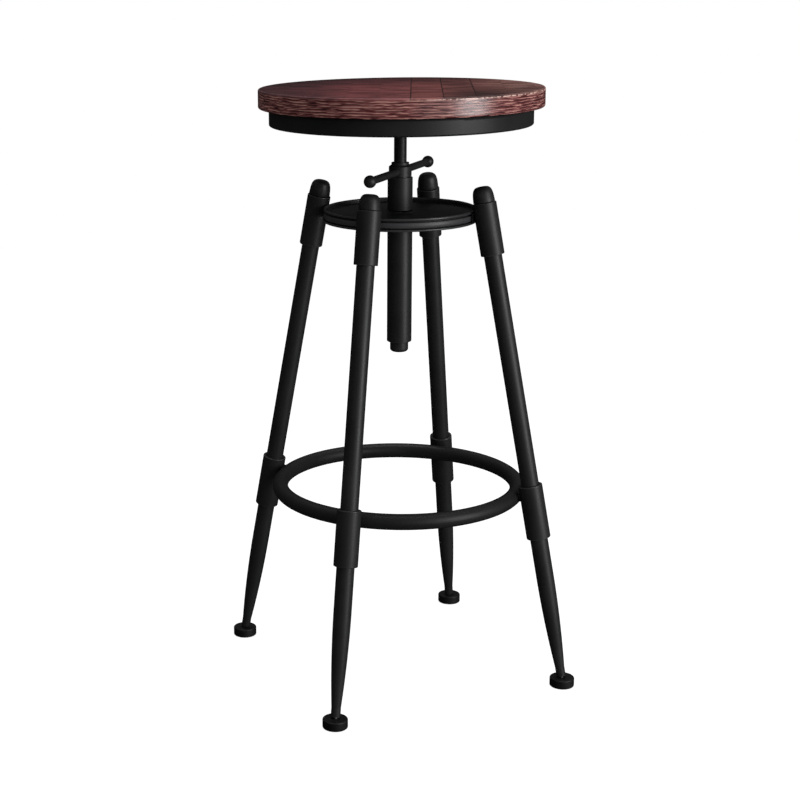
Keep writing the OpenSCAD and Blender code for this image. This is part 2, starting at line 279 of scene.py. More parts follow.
def turned(
    name: str,
    profile: Sequence[tuple[float, float]],
    columns: int,
    flats: dict[int, int] | None = None,
    holed: bool = False,
) -> bpy.types.Object:
    """Turns a closed solid about Z from its profile.

    Args:
        name: Name of the piece.
        profile: Radius and height of each ring, from the lower pole to the upper one.
        columns: Number of columns round the axis.
        flats: Rings that are a polygon and not a circle, by ring number, with its count of sides.
        holed: Whether the profile is a closed loop clear of the axis.

    Returns:
        The solid, capped at both ends unless it is holed.
    """
    vertices = []
    for ring, (radius, height) in enumerate(profile):
        sides = (flats or {}).get(ring, 0)
        for i in range(columns):
            angle = 2 * math.pi * i / columns
            reach = radius
            if sides:
                half = math.pi / sides
                reach = radius * math.cos(half) / math.cos((angle % (2 * half)) - half)
            vertices.append((reach * math.cos(angle), reach * math.sin(angle), height))
    rings = len(profile)
    steps = [(k * columns, (k + 1) % rings * columns) for k in range(rings if holed else rings - 1)]
    faces = [
        (lower + i, lower + (i + 1) % columns, upper + (i + 1) % columns, upper + i)
        for lower, upper in steps
        for i in range(columns)
    ]
    if not holed:
        faces.append(tuple(reversed(range(columns))))
        faces.append(tuple(range((rings - 1) * columns, rings * columns)))
    return mesh_object(name, vertices, faces)


def arc(
    centre: tuple[float, float], radius: float, start: float, end: float, steps: int
) -> list[tuple[float, float]]:
    """Points of an arc in a profile.

    Args:
        centre: Radius and height of the arc's middle.
        radius: The arc's own radius.
        start: First angle in degrees, 0 being outwards and 90 upwards.
        end: Last angle in degrees.
        steps: Number of steps from one to the other.

    Returns:
        The points, both ends among them.
    """
    angles = [math.radians(start + (end - start) * i / steps) for i in range(steps + 1)]
    return [(centre[0] + radius * math.cos(a), centre[1] + radius * math.sin(a)) for a in angles]


def settle(piece: bpy.types.Object) -> bpy.types.Object:
    """Turns an object with modifiers into a plain mesh.

    Args:
        piece: The object, whose modifiers are all set.

    Returns:
        The same object, without modifiers.
    """
    bpy.context.view_layer.update()
    graph = bpy.context.evaluated_depsgraph_get()
    mesh = bpy.data.meshes.new_from_object(
        piece.evaluated_get(graph), preserve_all_data_layers=True, depsgraph=graph
    )
    mesh.name = piece.name
    piece.modifiers.clear()
    piece.data = mesh
    return piece


def shade_by_area(piece: bpy.types.Object) -> None:
    """Shades a smooth piece so that its broad faces look flat, and settles it.

    Args:
        piece: The piece, with any other modifiers already on it.
    """
    flow = piece.modifiers.new("flow", "WEIGHTED_NORMAL")
    flow.mode, flow.weight, flow.keep_sharp = "FACE_AREA", 50, False
    settle(piece)


def face_outwards(piece: bpy.types.Object) -> None:
    """Merges a closed mesh's doubled points and turns its faces outwards.

    Args:
        piece: The piece, which has no modifiers.
    """
    shell = bmesh.new()
    shell.from_mesh(piece.data)
    bmesh.ops.remove_doubles(shell, verts=shell.verts, dist=SAME_POINT)
    bmesh.ops.recalc_face_normals(shell, faces=shell.faces)
    shell.to_mesh(piece.data)
    shell.free()


@dataclass
class Recipe:
    """A Geometry Nodes tree under construction, with its named inputs."""

    name: str
    sizes: dict[str, float | bpy.types.Object]
    tree: Any = field(init=False)
    given: Any = field(init=False)

    def __post_init__(self) -> None:
        """Makes the tree, its geometry sockets, its inputs and its material input."""
        self.tree = bpy.data.node_groups.new(self.name, "GeometryNodeTree")
        face = self.tree.interface
        face.new_socket("Geometry", in_out="OUTPUT", socket_type="NodeSocketGeometry")
        face.new_socket("Geometry", in_out="INPUT", socket_type="NodeSocketGeometry")
        for label, value in self.sizes.items():
            kind = "Object" if isinstance(value, bpy.types.Object) else "Float"
            face.new_socket(label, in_out="INPUT", socket_type=f"NodeSocket{kind}")
        face.new_socket("Material", in_out="INPUT", socket_type="NodeSocketMaterial")
        self.given = self.tree.nodes.new("NodeGroupInput").outputs

    def cook(self, piece: bpy.types.Object, shape: Any, material: bpy.types.Material) -> None:
        """Ends the tree, runs it on a piece and keeps the result as the piece's plain mesh.

        Args:
            piece: The object that carries the base geometry.
            shape: Output socket of the finished geometry.
            material: Material that the result gets.
        """
        real = add_node(self.tree, "GeometryNodeRealizeInstances", {"Geometry": shape})
        ready = {"Geometry": real, "Material": self.given["Material"]}
        coated = add_node(self.tree, "GeometryNodeSetMaterial", ready)
        add_node(self.tree, "NodeGroupOutput", {"Geometry": coated})
        modifier = piece.modifiers.new(self.name, "NODES")
        modifier.node_group = self.tree
        values = self.sizes | {"Material": material}
        for socket in self.tree.interface.items_tree:
            if socket.in_out == "INPUT" and socket.name in values:
                modifier[socket.identifier] = values[socket.name]
        settle(piece)


def dress(
    piece: bpy.types.Object,
    body: Body,
    material: bpy.types.Material | None = None,
    replaces: Sequence[str] = (),
) -> None:
    """Gives a finished piece its material and its body, and reports it.

    Args:
        piece: The piece, in its place.
        body: The body that carries it.
        material: Its material, where its mesh doesn't have it yet.
        replaces: CAD nodes that the piece stands for.
    """
    if material:
        piece.data.materials.clear()
        piece.data.materials.append(material)
    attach(piece, body.value)
    if replaces:
        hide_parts(*replaces)
    LOG.info("%s: %d faces, rides on %s", piece.name, len(piece.data.polygons), body.value)


# ---------------------------------------------------------------------------------------------------------
# Finishes, with the sizes of their patterns in millimetres


@dataclass(frozen=True)
class Weathering:
    """How a plain finish drifts in tint and gloss over its surface, and how deep its fine relief is.

    One slow pattern, from 0 to 1, leads both. The tints have their stops on it, and the roughness goes from
    its first value to its second where the pattern goes through the spread.
    """

    tints: tuple[tuple[float, str], tuple[float, str]]
    spread: tuple[float, float]
    roughness: tuple[float, float]
    strength: float
    depth: float

    def lay(self, tree: bpy.types.NodeTree, shader: Any, drift: Any, relief: Any) -> None:
        """Links the drift and the relief to a shader.

        Args:
            tree: The shader's tree.
            shader: Its Principled node.
            drift: Output socket of the slow pattern.
            relief: Output socket of the fine pattern.
        """
        tint = add_node(tree, "ShaderNodeValToRGB", {"Fac": drift}, stops=self.tints)
        rough = add_node(tree, "ShaderNodeMapRange", (drift, *self.spread, *self.roughness))
        raised = {"Strength": self.strength, "Distance": self.depth * MM, "Height": relief}
        bump = add_node(tree, "ShaderNodeBump", raised)
        tree.links.new(tint, shader.inputs["Base Color"])
        tree.links.new(rough, shader.inputs["Roughness"])
        tree.links.new(bump, shader.inputs["Normal"])


@dataclass(frozen=True)
class PowderCoat:
    """Epoxy powder, sprayed and baked on mild steel: a soft satin black with a faint orange peel.

    The peel breaks the edge of every highlight, and the slow clouds keep the black from looking printed.
    """

    name: str = "powder_coated_steel"
    colour: str = "#1c1c1d"
    dusty: str = "#232324"
    roughness: float = 0.44
    specular: float = 0.32
    peel: float = 1.4
    cloud: float = 60.0

    def material(self) -> bpy.types.Material:
        """Builds the coat.

        Returns:
            The material.
        """
        material, tree, shader = new_material(
            self.name, self.colour, self.roughness, Specular_IOR_Level=self.specular
        )
        add = partial(add_node, tree)
        place = add("ShaderNodeTexCoord", out="Object")
        soft = {"Vector": place, "Scale": per_mm(self.cloud), "Detail": 3.0, "Roughness": 0.6}
        fine = {"Vector": place, "Scale": per_mm(self.peel), "Detail": 2.0, "Roughness": 0.55}
        clouds, peel = (add("ShaderNodeTexNoise", noise) for noise in (soft, fine))
        tints = ((0.35, self.colour), (0.7, self.dusty))
        gloss = (self.roughness - 0.03, self.roughness + 0.05)
        Weathering(tints, (0.3, 0.7), gloss, strength=0.35, depth=0.03).lay(tree, shader, clouds, peel)
        return material


@dataclass(frozen=True)
class ZincPlate:
    """Bright zinc, plated on turned steel: cool grey with a slightly cloudy gloss and fine rings.

    The rings follow the lathe's marks along the height. They are drawn coarser than a lathe leaves them, so
    that they show.
    """

    colour: str = "#9a9c9e"
    stain: str = "#7d7f80"
    roughness: float = 0.32
    cloud: float = 4.0
    mark: float = 0.35

    def material(self) -> bpy.types.Material:
        """Builds the plating.

        Returns:
            The material.
        """
        material, tree, shader = new_material("zinc_plated_steel", self.colour, self.roughness, Metallic=1.0)
        add = partial(add_node, tree)
        place = add("ShaderNodeTexCoord", out="Object")
        cloud = add("ShaderNodeTexNoise", {"Vector": place, "Scale": per_mm(self.cloud), "Detail": 4.0})
        level = add("ShaderNodeMapping", {"Vector": place, "Scale": (0.05, 0.05, 1.0)})
        marks = add("ShaderNodeTexNoise", {"Vector": level, "Scale": per_mm(self.mark), "Detail": 1.0})
        tints = ((0.3, self.stain), (0.65, self.colour))
        gloss = (self.roughness - 0.06, self.roughness + 0.1)
        Weathering(tints, (0.3, 0.7), gloss, strength=0.25, depth=0.02).lay(tree, shader, cloud, marks)
        return material


@dataclass(frozen=True)
class BlackOxide:
    """Chemically blackened steel, lightly oiled: a deep black whose crests rub back to a brownish grey."""

    colour: str = "#141415"
    rubbed: str = "#2c2b2a"
    roughness: float = 0.45
    patch: float = 3.0

    def material(self) -> bpy.types.Material:
        """Builds the blackening.

        Returns:
            The material, whose rubbed patches are a few millimetres long.
        """
        material, tree, shader = new_material(
            "blackened_steel", self.colour, self.roughness, Specular_IOR_Level=0.25
        )
        add = partial(add_node, tree)
        place = add("ShaderNodeTexCoord", out="Object")
        patches = {"Vector": place, "Scale": per_mm(self.patch), "Detail": 4.0, "Roughness": 0.65}
        rub = add("ShaderNodeTexNoise", patches)
        tints = ((0.5, self.colour), (0.78, self.rubbed))
        gloss = (self.roughness + 0.05, self.roughness - 0.08)
        Weathering(tints, (0.35, 0.7), gloss, strength=0.2, depth=0.02).lay(tree, shader, rub, rub)
        return material


@dataclass(frozen=True)
class MouldedPlastic:
    """Black polypropylene or rubber from a spark-eroded mould: matt, with a fine even grain.

    The grain scatters the highlight, and the bloom is the greyish film of age. A real mould's grain is about
    0.1 mm, and it is drawn coarser so that it shows.
    """

    name: str
    colour: str
    bloom: str
    roughness: float
    specular: float
    grain: float
    film: float = 9.0

    def material(self) -> bpy.types.Material:
        """Builds the moulded surface.

        Returns:
            The material.
        """
        material, tree, shader = new_material(
            self.name, self.colour, self.roughness, Specular_IOR_Level=self.specular
        )
        add = partial(add_node, tree)
        place = add("ShaderNodeTexCoord", out="Object")
        aged = {"Vector": place, "Scale": per_mm(self.film), "Detail": 5.0, "Roughness": 0.6}
        film = add("ShaderNodeTexNoise", aged)
        pitted = {"Vector": place, "Scale": per_mm(self.grain)}
        grain = add("ShaderNodeTexVoronoi", pitted, feature="SMOOTH_F1")
        tints = ((0.4, self.colour), (0.72, self.bloom))
        gloss = (self.roughness - 0.05, self.roughness + 0.07)
        Weathering(tints, (0.3, 0.7), gloss, strength=0.3, depth=0.03).lay(tree, shader, film, grain)
        return material


@dataclass(frozen=True)
class StainedOak:
    """Oak blocks with the grain from joint to joint, wire-brushed round the edge, stained and lacquered.

    The red-brown stain settles in the open pores, so the brushed edge shows dark hollows below light ridges,
    and the lacquer lays a soft gloss over all of it. The tones across the board, each block's own with a
    painted shade to the left and a painted sheen to the right, go from 0 on its left to 1 on its right. The
    painted shade and sheen on either side go from 0 at the front to 1 at the back.
    """

    radius: float = 150.0
    turn: float = 19.0
    seed: float = 4.7
    block: float = 32.0
    first_joint: float = 10.7
    joint: float = 1.2
    joint_stain: str = "#200d0f"
    joint_strength: tuple[float, float] = (0.25, 1.1)
    open_middle: float = 0.63
    open_reach: float = 0.13
    pore: float = 1.1
    pore_length: float = 42.0
    figure: float = 6.5
    cloud: float = 17.0
    comb: float = 0.78
    comb_length: float = 16.0
    wave_height: float = 3.0
    wave_length: float = 34.0
    line_gap: float = 2.7
    line_stray: float = 3.6
    line_share: float = 0.66
    dash: float = 5.5
    painted_glint: str = "#d9b6aa"
    block_tones_and_painted_light: tuple[tuple[float, str], ...] = (
        (0.0, "#5a333a"),
        (0.2, "#7c444a"),
        (0.34, "#aa6064"),
        (0.528, "#b0686a"),
        (0.544, "#b26c67"),
        (0.634, "#ae6a65"),
        (0.65, "#a66864"),
        (0.72, "#965f5c"),
        (0.756, "#a06a66"),
        (0.848, "#b8867c"),
        (0.9, "#c89c92"),
    )
    left_painted_shade: tuple[tuple[float, str], ...] = (
        (0.0, "#e4dcdc"),
        (0.3, "#f2eaea"),
        (0.5, "#f6eeee"),
        (0.65, "#ccc0c4"),
        (0.83, "#a8969e"),
        (0.95, "#84727a"),
    )
    right_painted_sheen_and_shade: tuple[tuple[float, str], ...] = (
        (0.08, "#84787c"),
        (0.28, "#b8acac"),
        (0.48, "#e2dada"),
        (0.68, "#ffffff"),
        (0.8, "#ece4e4"),
        (0.93, "#a49898"),
    )
    figure_tones: tuple[tuple[float, str], ...] = ((0.34, "#8c7c7e"), (0.5, "#e2dad8"), (0.66, "#ffffff"))
    blotch_tones: tuple[tuple[float, str], ...] = ((0.34, "#b4a0a2"), (0.5, "#ece4e4"), (0.62, "#ffffff"))
    edge_tones: tuple[tuple[float, str], ...] = (
        (0.12, "#260a0b"),
        (0.36, "#4c1e20"),
        (0.6, "#7e4646"),
        (0.88, "#c69489"),
    )

    def material(self) -> bpy.types.Material:
        """Builds the wood.

        Returns:
            The material. It reads "side", "rim", "corner" and "grain" from the board's points.
        """
        material, tree, shader = new_material("stained_brushed_oak", "#4b2b29", 0.34, Specular_IOR_Level=0.5)
        add = partial(add_node, tree)
        names = ("side", "rim", "corner", "grain")
        side, rim, corner, grain = (
            add("ShaderNodeAttribute", out="Fac", attribute_name=name) for name in names
        )
        place = add("ShaderNodeTexCoord", out="Object")
        along = add("ShaderNodeMapping", {"Vector": place, "Rotation": (0.0, 0.0, -math.radians(self.turn))})
        across = add("ShaderNodeSeparateXYZ", {"Vector": along}, "X")
        breadth = add("ShaderNodeMapRange", (across, -self.radius * MM, self.radius * MM))
        steps = add("ShaderNodeMath", (across, -self.first_joint * MM), operation="ADD")
        steps = add("ShaderNodeMath", (steps, self.block * MM), operation="DIVIDE")

        # Each block is its own piece of timber, so its grain starts from another place
        number = add("ShaderNodeMath", (steps,), operation="FLOOR")
        chance = add("ShaderNodeTexWhiteNoise", {"W": number}, noise_dimensions="1D")
        shift = add("ShaderNodeCombineXYZ", (chance, number, chance))
        pores = {"Detail": 4.0, "Roughness": 0.62, "Distortion": 0.5}
        fine = self.streaks(add, along, shift, self.pore_length, self.pore, pores)
        top = self.top(add, along, shift, breadth, fine)
        top = self.joints(add, top, steps, breadth)
        edge = self.edge(add, place, grain)
        colour = add("ShaderNodeMix", {"Factor": side, "A": top, "B": edge}, "Result", data_type="RGBA")

        # Short light dashes on the top corner, on the right half alone: painted glints where the rounded
        # corner faces the key lamp
        dash = {"Vector": place, "Scale": per_mm(self.dash), "Detail": 3.0, "Roughness": 0.7}
        dash = add("ShaderNodeMapRange", (add("ShaderNodeTexNoise", dash), 0.46, 0.53))
        lit_right_half = add("ShaderNodeMapRange", (breadth, 0.5, 0.66))
        dash = add("ShaderNodeMath", (dash, lit_right_half), operation="MULTIPLY")
        dash = add("ShaderNodeMath", (dash, rim), operation="MULTIPLY")
        bare = {"Factor": dash, "A": colour, "B": linear(self.painted_glint)}
        colour = add("ShaderNodeMix", bare, "Result", data_type="RGBA")

        # The lacquer lies thin over open pores, and the round corner has lost its gloss
        gloss = add("ShaderNodeMix", {"Factor": side, "A": fine, "B": grain}, data_type="FLOAT")
        rough = add("ShaderNodeMapRange", (gloss, 0.2, 0.8, 0.3, 0.2))
        rough = add("ShaderNodeMix", {"Factor": corner, "A": rough, "B": 0.62}, data_type="FLOAT")
        bump = add("ShaderNodeBump", {"Strength": 0.5, "Distance": 0.12 * MM, "Height": fine})
        tree.links.new(colour, shader.inputs["Base Color"])
        tree.links.new(rough, shader.inputs["Roughness"])
        tree.links.new(bump, shader.inputs["Normal"])
        return material

    def streaks(
        self,
        add: Callable[..., Any],
        along: Any,
        shift: Any,
        length: float,
        width: float,
        noise: dict[str, float],
    ) -> Any:
        """Draws streaks along the grain, which start afresh in each block.

        Args:
            add: Adds a node to the material's tree.
            along: Output socket of the place along the grain.
            shift: Output socket of the block's own shift.
            length: Length of a streak in millimetres.
            width: Its width in millimetres.
            noise: The noise's own settings by input name.

        Returns:
            Output socket of the streaks.
        """
        stretch = (per_mm(length), per_mm(width), per_mm(width))
        spot = add("ShaderNodeVectorMath", (along, stretch), operation="MULTIPLY")
        spot = add("ShaderNodeVectorMath", (spot, shift), operation="ADD")
        return add("ShaderNodeTexNoise", {"Vector": spot, "Scale": 1.0, **noise})

    def top(self, add: Callable[..., Any], along: Any, shift: Any, breadth: Any, fine: Any) -> Any:
        """Colours the flat top.

        Args:
            add: Adds a node to the material's tree.
            along: Output socket of the place along the grain.
            shift: Output socket of the block's own shift.
            breadth: Output socket of the place across the board, from 0 to 1.
            fine: Output socket of the pores.

        Returns:
            Output socket of the colour.
        """
        rings = {"Detail": 2.0, "Roughness": 0.5, "Distortion": 1.4}
        bands = self.streaks(add, along, shift, self.figure * 9, self.figure, rings)
        tone = add("ShaderNodeMix", {"Factor": 0.45, "A": fine, "B": bands}, data_type="FLOAT")
        figure = add("ShaderNodeValToRGB", {"Fac": tone}, stops=self.figure_tones)

        # The stain took unevenly, which shows as soft streaks wherever the top is seen along its face
        uneven = {"Detail": 1.5, "Roughness": 0.5, "Distortion": 0.5}
        blotch = self.streaks(add, along, shift, self.cloud * 2.6, self.cloud, uneven)
        blotch = add("ShaderNodeValToRGB", {"Fac": blotch}, stops=self.blotch_tones)

        # Painted shade and sheen from front to back: on the left a painted shade, darkest at the back; on the
        # right a painted sheen, dark at the front and brightest towards the back
        depth = add("ShaderNodeSeparateXYZ", {"Vector": along}, "Y")
        depth = add("ShaderNodeMapRange", (depth, -self.radius * MM, self.radius * MM))
        left = add("ShaderNodeValToRGB", {"Fac": depth}, stops=self.left_painted_shade)
        right = add("ShaderNodeValToRGB", {"Fac": depth}, stops=self.right_painted_sheen_and_shade)
        sweep = add("ShaderNodeMapRange", (breadth, 0.62, 0.76))
        shade = add("ShaderNodeMix", {"Factor": sweep, "A": left, "B": right}, "Result", data_type="RGBA")

        # Each block's own tone across the board, with a painted shade towards the left and a painted sheen
        # towards the right
        colour = add("ShaderNodeValToRGB", {"Fac": breadth}, stops=self.block_tones_and_painted_light)
        for layer in (figure, blotch, shade):
            both = {"Factor": 1.0, "A": colour, "B": layer}
            colour = add("ShaderNodeMix", both, "Result", data_type="RGBA", blend_type="MULTIPLY")
        return colour

    def joints(self, add: Callable[..., Any], top: Any, steps: Any, breadth: Any) -> Any:
        """Gathers stain in the open joints between blocks, most of all right of the middle.

        Args:
            add: Adds a node to the material's tree.
            top: Output socket of the top's colour.
            steps: Output socket of the place across the board, counted in blocks.
            breadth: Output socket of the same place, from 0 to 1.

        Returns:
            Output socket of the colour with its joints.
        """
        offset = add("ShaderNodeMath", (steps, 0.5), operation="ADD")
        offset = add("ShaderNodeMath", (offset,), operation="FRACT")
        offset = add("ShaderNodeMath", (offset, 0.5), operation="SUBTRACT")
        offset = add("ShaderNodeMath", (offset,), operation="ABSOLUTE")
        gap = self.joint / self.block / 2
        joint = add("ShaderNodeMapRange", (offset, gap * 0.5, gap * 1.4, 0.75, 0.0))
        opened = add("ShaderNodeMath", (breadth, self.open_middle, self.open_reach), operation="COMPARE")
        opened = add("ShaderNodeMapRange", (opened, 0.0, 1.0, *self.joint_strength))
        joint = add("ShaderNodeMath", (joint, opened), operation="MULTIPLY")
        stained = {"Factor": joint, "A": top, "B": linear(self.joint_stain)}
        return add("ShaderNodeMix", stained, "Result", data_type="RGBA")

    def edge(self, add: Callable[..., Any], place: Any, grain: Any) -> Any:
        """Colours the brushed edge: dark hollows, warm ridges, and hair-thin pores that follow their waves.

        Args:
            add: Adds a node to the material's tree.
            place: Output socket of the place on the board.
            grain: Output socket of the brushed relief.

        Returns:
            Output socket of the colour.
        """
        waves = {"Vector": place, "W": self.seed, "Scale": per_mm(self.wave_length), "Detail": 2.0}
        bend = add("ShaderNodeTexNoise", waves, "Color", noise_dimensions="4D")
        bend = add("ShaderNodeVectorMath", (bend, (0.5, 0.5, 0.5)), operation="SUBTRACT")
        lift = (0.0, 0.0, self.wave_height / self.comb)
        bend = add("ShaderNodeVectorMath", (bend, lift), operation="MULTIPLY")
        stretch = (per_mm(self.comb_length), per_mm(self.comb_length), per_mm(self.comb))
        comb = add("ShaderNodeVectorMath", (place, stretch), operation="MULTIPLY")
        comb = add("ShaderNodeVectorMath", (comb, bend), operation="ADD")
        hairs = add("ShaderNodeTexNoise", {"Vector": comb, "Scale": 1.0, "Detail": 1.0, "Roughness": 0.5})
        hairs = add("ShaderNodeMapRange", (hairs, 0.36, 0.62))

        # Even lines, as the years' rings leave them, with the hairs to lead them astray
        phase = add("ShaderNodeSeparateXYZ", {"Vector": comb}, "Z")
        phase = add("ShaderNodeMath", (phase, 2 * math.pi * self.comb / self.line_gap), operation="MULTIPLY")
        stray = add("ShaderNodeMath", (hairs, self.line_stray), operation="MULTIPLY")
        phase = add("ShaderNodeMath", (phase, stray), operation="ADD")
        lines = add("ShaderNodeMath", (phase,), operation="SINE")
        lines = add("ShaderNodeMapRange", (lines, -1.0, 1.0, 0.06, 0.94))
        hairs = add("ShaderNodeMix", {"Factor": self.line_share, "A": hairs, "B": lines}, data_type="FLOAT")
        combed = add("ShaderNodeMix", {"Factor": 0.82, "A": grain, "B": hairs}, data_type="FLOAT")
        return add("ShaderNodeValToRGB", {"Fac": combed}, stops=self.edge_tones)


@dataclass
class Finishes:
    """Every finish of the stool, each built once."""

    coat: bpy.types.Material = field(default_factory=PowderCoat().material)
    pan_coat: bpy.types.Material = field(
        default_factory=PowderCoat(
            "powder_coated_sheet", dusty="#222223", roughness=0.46, specular=0.25
        ).material
    )
    # A lighter coat for the leg plate's rim band: painted light where the band faces the lamps
    painted_light_band_coat: bpy.types.Material = field(
        default_factory=PowderCoat(
            "powder_coated_rim", colour="#363638", dusty="#3d3d3f", roughness=0.46, specular=0.45
        ).material
    )
    # A lighter, glossier coat for eased edges and beads: painted highlights along them
    rubbed_coat: bpy.types.Material = field(
        default_factory=PowderCoat(
            "rubbed_powder_coat", colour="#303032", dusty="#373738", roughness=0.34, specular=0.5
        ).material
    )
    zinc: bpy.types.Material = field(default_factory=ZincPlate().material)
    oxide: bpy.types.Material = field(default_factory=BlackOxide().material)
    wood: bpy.types.Material = field(default_factory=StainedOak().material)
    plastic: bpy.types.Material = field(
        default_factory=MouldedPlastic(
            "moulded_polypropylene",
            colour="#19191a",
            bloom="#252526",
            roughness=0.46,
            specular=0.35,
            grain=0.5,
        ).material
    )
    rubber: bpy.types.Material = field(
        default_factory=MouldedPlastic(
            "moulded_rubber", colour="#0b0b0c", bloom="#141415", roughness=0.5, specular=0.34, grain=0.7
        ).material
    )


# ---------------------------------------------------------------------------------------------------------
# The stool's sub-assemblies


@dataclass
class SubAssembly:
    """What every sub-assembly has: the finishes to draw on, and the frame's nodes by name."""

    finishes: Finishes
    nodes: dict[str, bpy.types.Object]

    def coat(self, names: Sequence[str], material: bpy.types.Material) -> None:
        """Gives CAD nodes a material.

        Args:
            names: Names of the nodes to coat.
            material: The material that they all get.
        """
        for name in names:
            slots = self.nodes[name].data.materials
            slots.clear()
            slots.append(material)
            LOG.info("%s: %s", name, material.name)

    def ease(self, name: str, body: Body, width: float) -> None:
        """Stands an eased copy of a steel node in its place, as coated steel never has a sharp edge.

        The copy gets the black coat and, on its eased edges, a lighter and glossier one that is a painted
        highlight.

        Args:
            name: The node's name.
            body: The body that carries it.
            width: How far each edge is eased, in metres.
        """
        flat, sharp, steps = math.radians(0.5), math.radians(38), 3
        mesh = self.nodes[name].data.copy()
        mesh.name = f"{name}_eased"
        piece = linked(mesh.name, mesh)
        shell = bmesh.new()
        shell.from_mesh(mesh)
        bmesh.ops.remove_doubles(shell, verts=shell.verts, dist=SAME_POINT)
        bmesh.ops.dissolve_limit(
            shell, angle_limit=flat, verts=shell.verts, edges=shell.edges, use_dissolve_boundaries=False
        )
        shell.to_mesh(mesh)
        shell.free()

        # The solid's own normals would shade the eased edges as sharp ones
        if "custom_normal" in mesh.attributes:
            mesh.attributes.remove(mesh.attributes["custom_normal"])
        mesh.materials.clear()
        mesh.materials.append(self.finishes.coat)
        mesh.materials.append(self.finishes.rubbed_coat)
        mesh.polygons.foreach_set("use_smooth", [True] * len(mesh.polygons))
        mesh.polygons.foreach_set("material_index", [0] * len(mesh.polygons))
        edge = piece.modifiers.new("eased", "BEVEL")
        edge.width, edge.segments, edge.material = width, steps, 1
        edge.limit_method, edge.angle_limit, edge.use_clamp_overlap = "ANGLE", sharp, True
        shade_by_area(piece)
        dress(piece, body, replaces=[name])


@dataclass
class SeatTop(SubAssembly):
    """The wooden board, the pan below it, and the hub and bolts that hold them on the screw."""

    wood: StainedOak = StainedOak()
    columns: int = 784
    rows: int = 50
    edge_r: float = 2.0 * MM
    rim: tuple[float, float] = (-0.25, 0.2)
    corner: tuple[float, float] = (0.1, 0.9)
    flat: float = 1.0 * MM
    open_joints: tuple[int, ...] = (0, 1, 2)
    joint_half: float = 0.5 * MM
    joint_depth: float = 0.35 * MM
    ridge: float = 0.95 * MM
    ridge_length: float = 20.0 * MM
    brush_depth: float = 0.12 * MM
    hub_edge: float = 0.5 * MM
    bolt_head_r: float = 4.75 * MM
    bolt_head_h: float = 3.0 * MM
    bolt_shank_r: float = 2.5 * MM
    bolt_tip: float = 0.6 * MM
    hexagon_r: float = 2.0 * MM
    hexagon_depth: float = 1.9 * MM
    bolt_turn: float = 0.35

    def build(self) -> None:
        """Builds the board and the bolts, and coats the pan and the hub."""
        self.board()
        self.bolts()
        self.coat(["seat_pan"], self.finishes.pan_coat)
        self.ease("seat_hub", Body.SEAT, self.hub_edge)

    def board(self) -> None:
        """Builds the board: a dense rim, joints cut across its top, and the brushed grain round its edge."""
        low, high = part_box("seat_board")
        radius, foot, top = high.x, low.z, high.z
        inner = radius - self.edge_r
        lower = arc((inner, foot + self.edge_r), self.edge_r, -90, 0, 5)
        upper = arc((inner, top - self.edge_r), self.edge_r, 0, 90, 7)
        side = [
            (radius, foot + self.edge_r + (top - foot - 2 * self.edge_r) * i / self.rows)
            for i in range(1, self.rows)
        ]
        profile = lower + side + upper + [(inner - self.flat, top)]
        piece = turned("oak_seat_board", profile, self.columns)
        self.mark(piece, len(lower) + len(side), len(profile))
        self.cut_joints(piece, top)
        recipe = Recipe(
            "brushed_grain",
            {
                "Ridge Spacing": self.ridge,
                "Ridge Length": self.ridge_length,
                "Depth": self.brush_depth,
                "Seed": self.wood.seed,
            },
        )
        recipe.cook(piece, self.brush(recipe), self.finishes.wood)
        dress(piece, Body.SEAT, replaces=["seat_board"])

    def mark(self, piece: bpy.types.Object, upper_start: int, rings: int) -> None:
        """Stores how far each point belongs to the brushed side, to the rim with the painted glints and to
        the round corner.

        Args:
            piece: The board.
            upper_start: First ring of the upper edge.
            rings: Number of rings.
        """
        # How far up the round corner each ring is: 0 where the corner starts, 1 where the top does
        climbs = [(ring - upper_start) / (rings - 2 - upper_start) for ring in range(rings)]
        (rim_start, rim_end), (corner_start, corner_end) = self.rim, self.corner
        marks = {
            "side": [min(1.0, max(0.0, 0.5 - 3.0 * climb)) for climb in climbs],
            "rim": [1.0 if rim_start <= climb <= rim_end else 0.0 for climb in climbs],
            "corner": [1.0 if corner_start <= climb <= corner_end else 0.0 for climb in climbs],
        }
        for name, shares in marks.items():
            layer = piece.data.attributes.new(name, "FLOAT", "POINT")
            layer.data.foreach_set("value", [share for share in shares for _column in range(self.columns)])

    def cut_joints(self, piece: bpy.types.Object, top: float) -> None:
        """Cuts the open joints between blocks into the flat top.

        Args:
            piece: The board.
            top: Height of its top face.
        """
        turn = math.radians(self.wood.turn)
        across = Vector((math.cos(turn), math.sin(turn), 0.0))
        shell = bmesh.new()
        shell.from_mesh(piece.data)
        for face in shell.faces:
            face.smooth = len(face.verts) == 4
        for number in self.open_joints:
            middle = (self.wood.first_joint + number * self.wood.block) * MM
            for shift in (-self.joint_half, 0.0, self.joint_half):
                high = top - SAME_HEIGHT
                disc = [f for f in shell.faces if len(f.verts) > 4 or f.calc_center_median().z > high]
                disc = [f for f in disc if f.normal.z > UPWARDS and not f.smooth]
                edges = dict.fromkeys(edge for face in disc for edge in face.edges)
                points = dict.fromkeys(vertex for face in disc for vertex in face.verts)
                bmesh.ops.bisect_plane(
                    shell,
                    geom=[*disc, *edges, *points],
                    dist=SAME_HEIGHT,
                    plane_co=across * (middle + shift),
                    plane_no=across,
                )
            for vertex in shell.verts:
                on_joint = abs(vertex.co.dot(across) - middle) < 10 * SAME_HEIGHT
                if vertex.co.z > top - SAME_HEIGHT and on_joint:
                    if any(not face.smooth for face in vertex.link_faces):
                        vertex.co.z -= self.joint_depth
        for face in shell.faces:
            deepest = top - self.joint_depth - 10 * SAME_HEIGHT
            if face.normal.z > UPWARDS and face.calc_center_median().z > deepest:
                face.smooth = False
        shell.to_mesh(piece.data)
        shell.free()

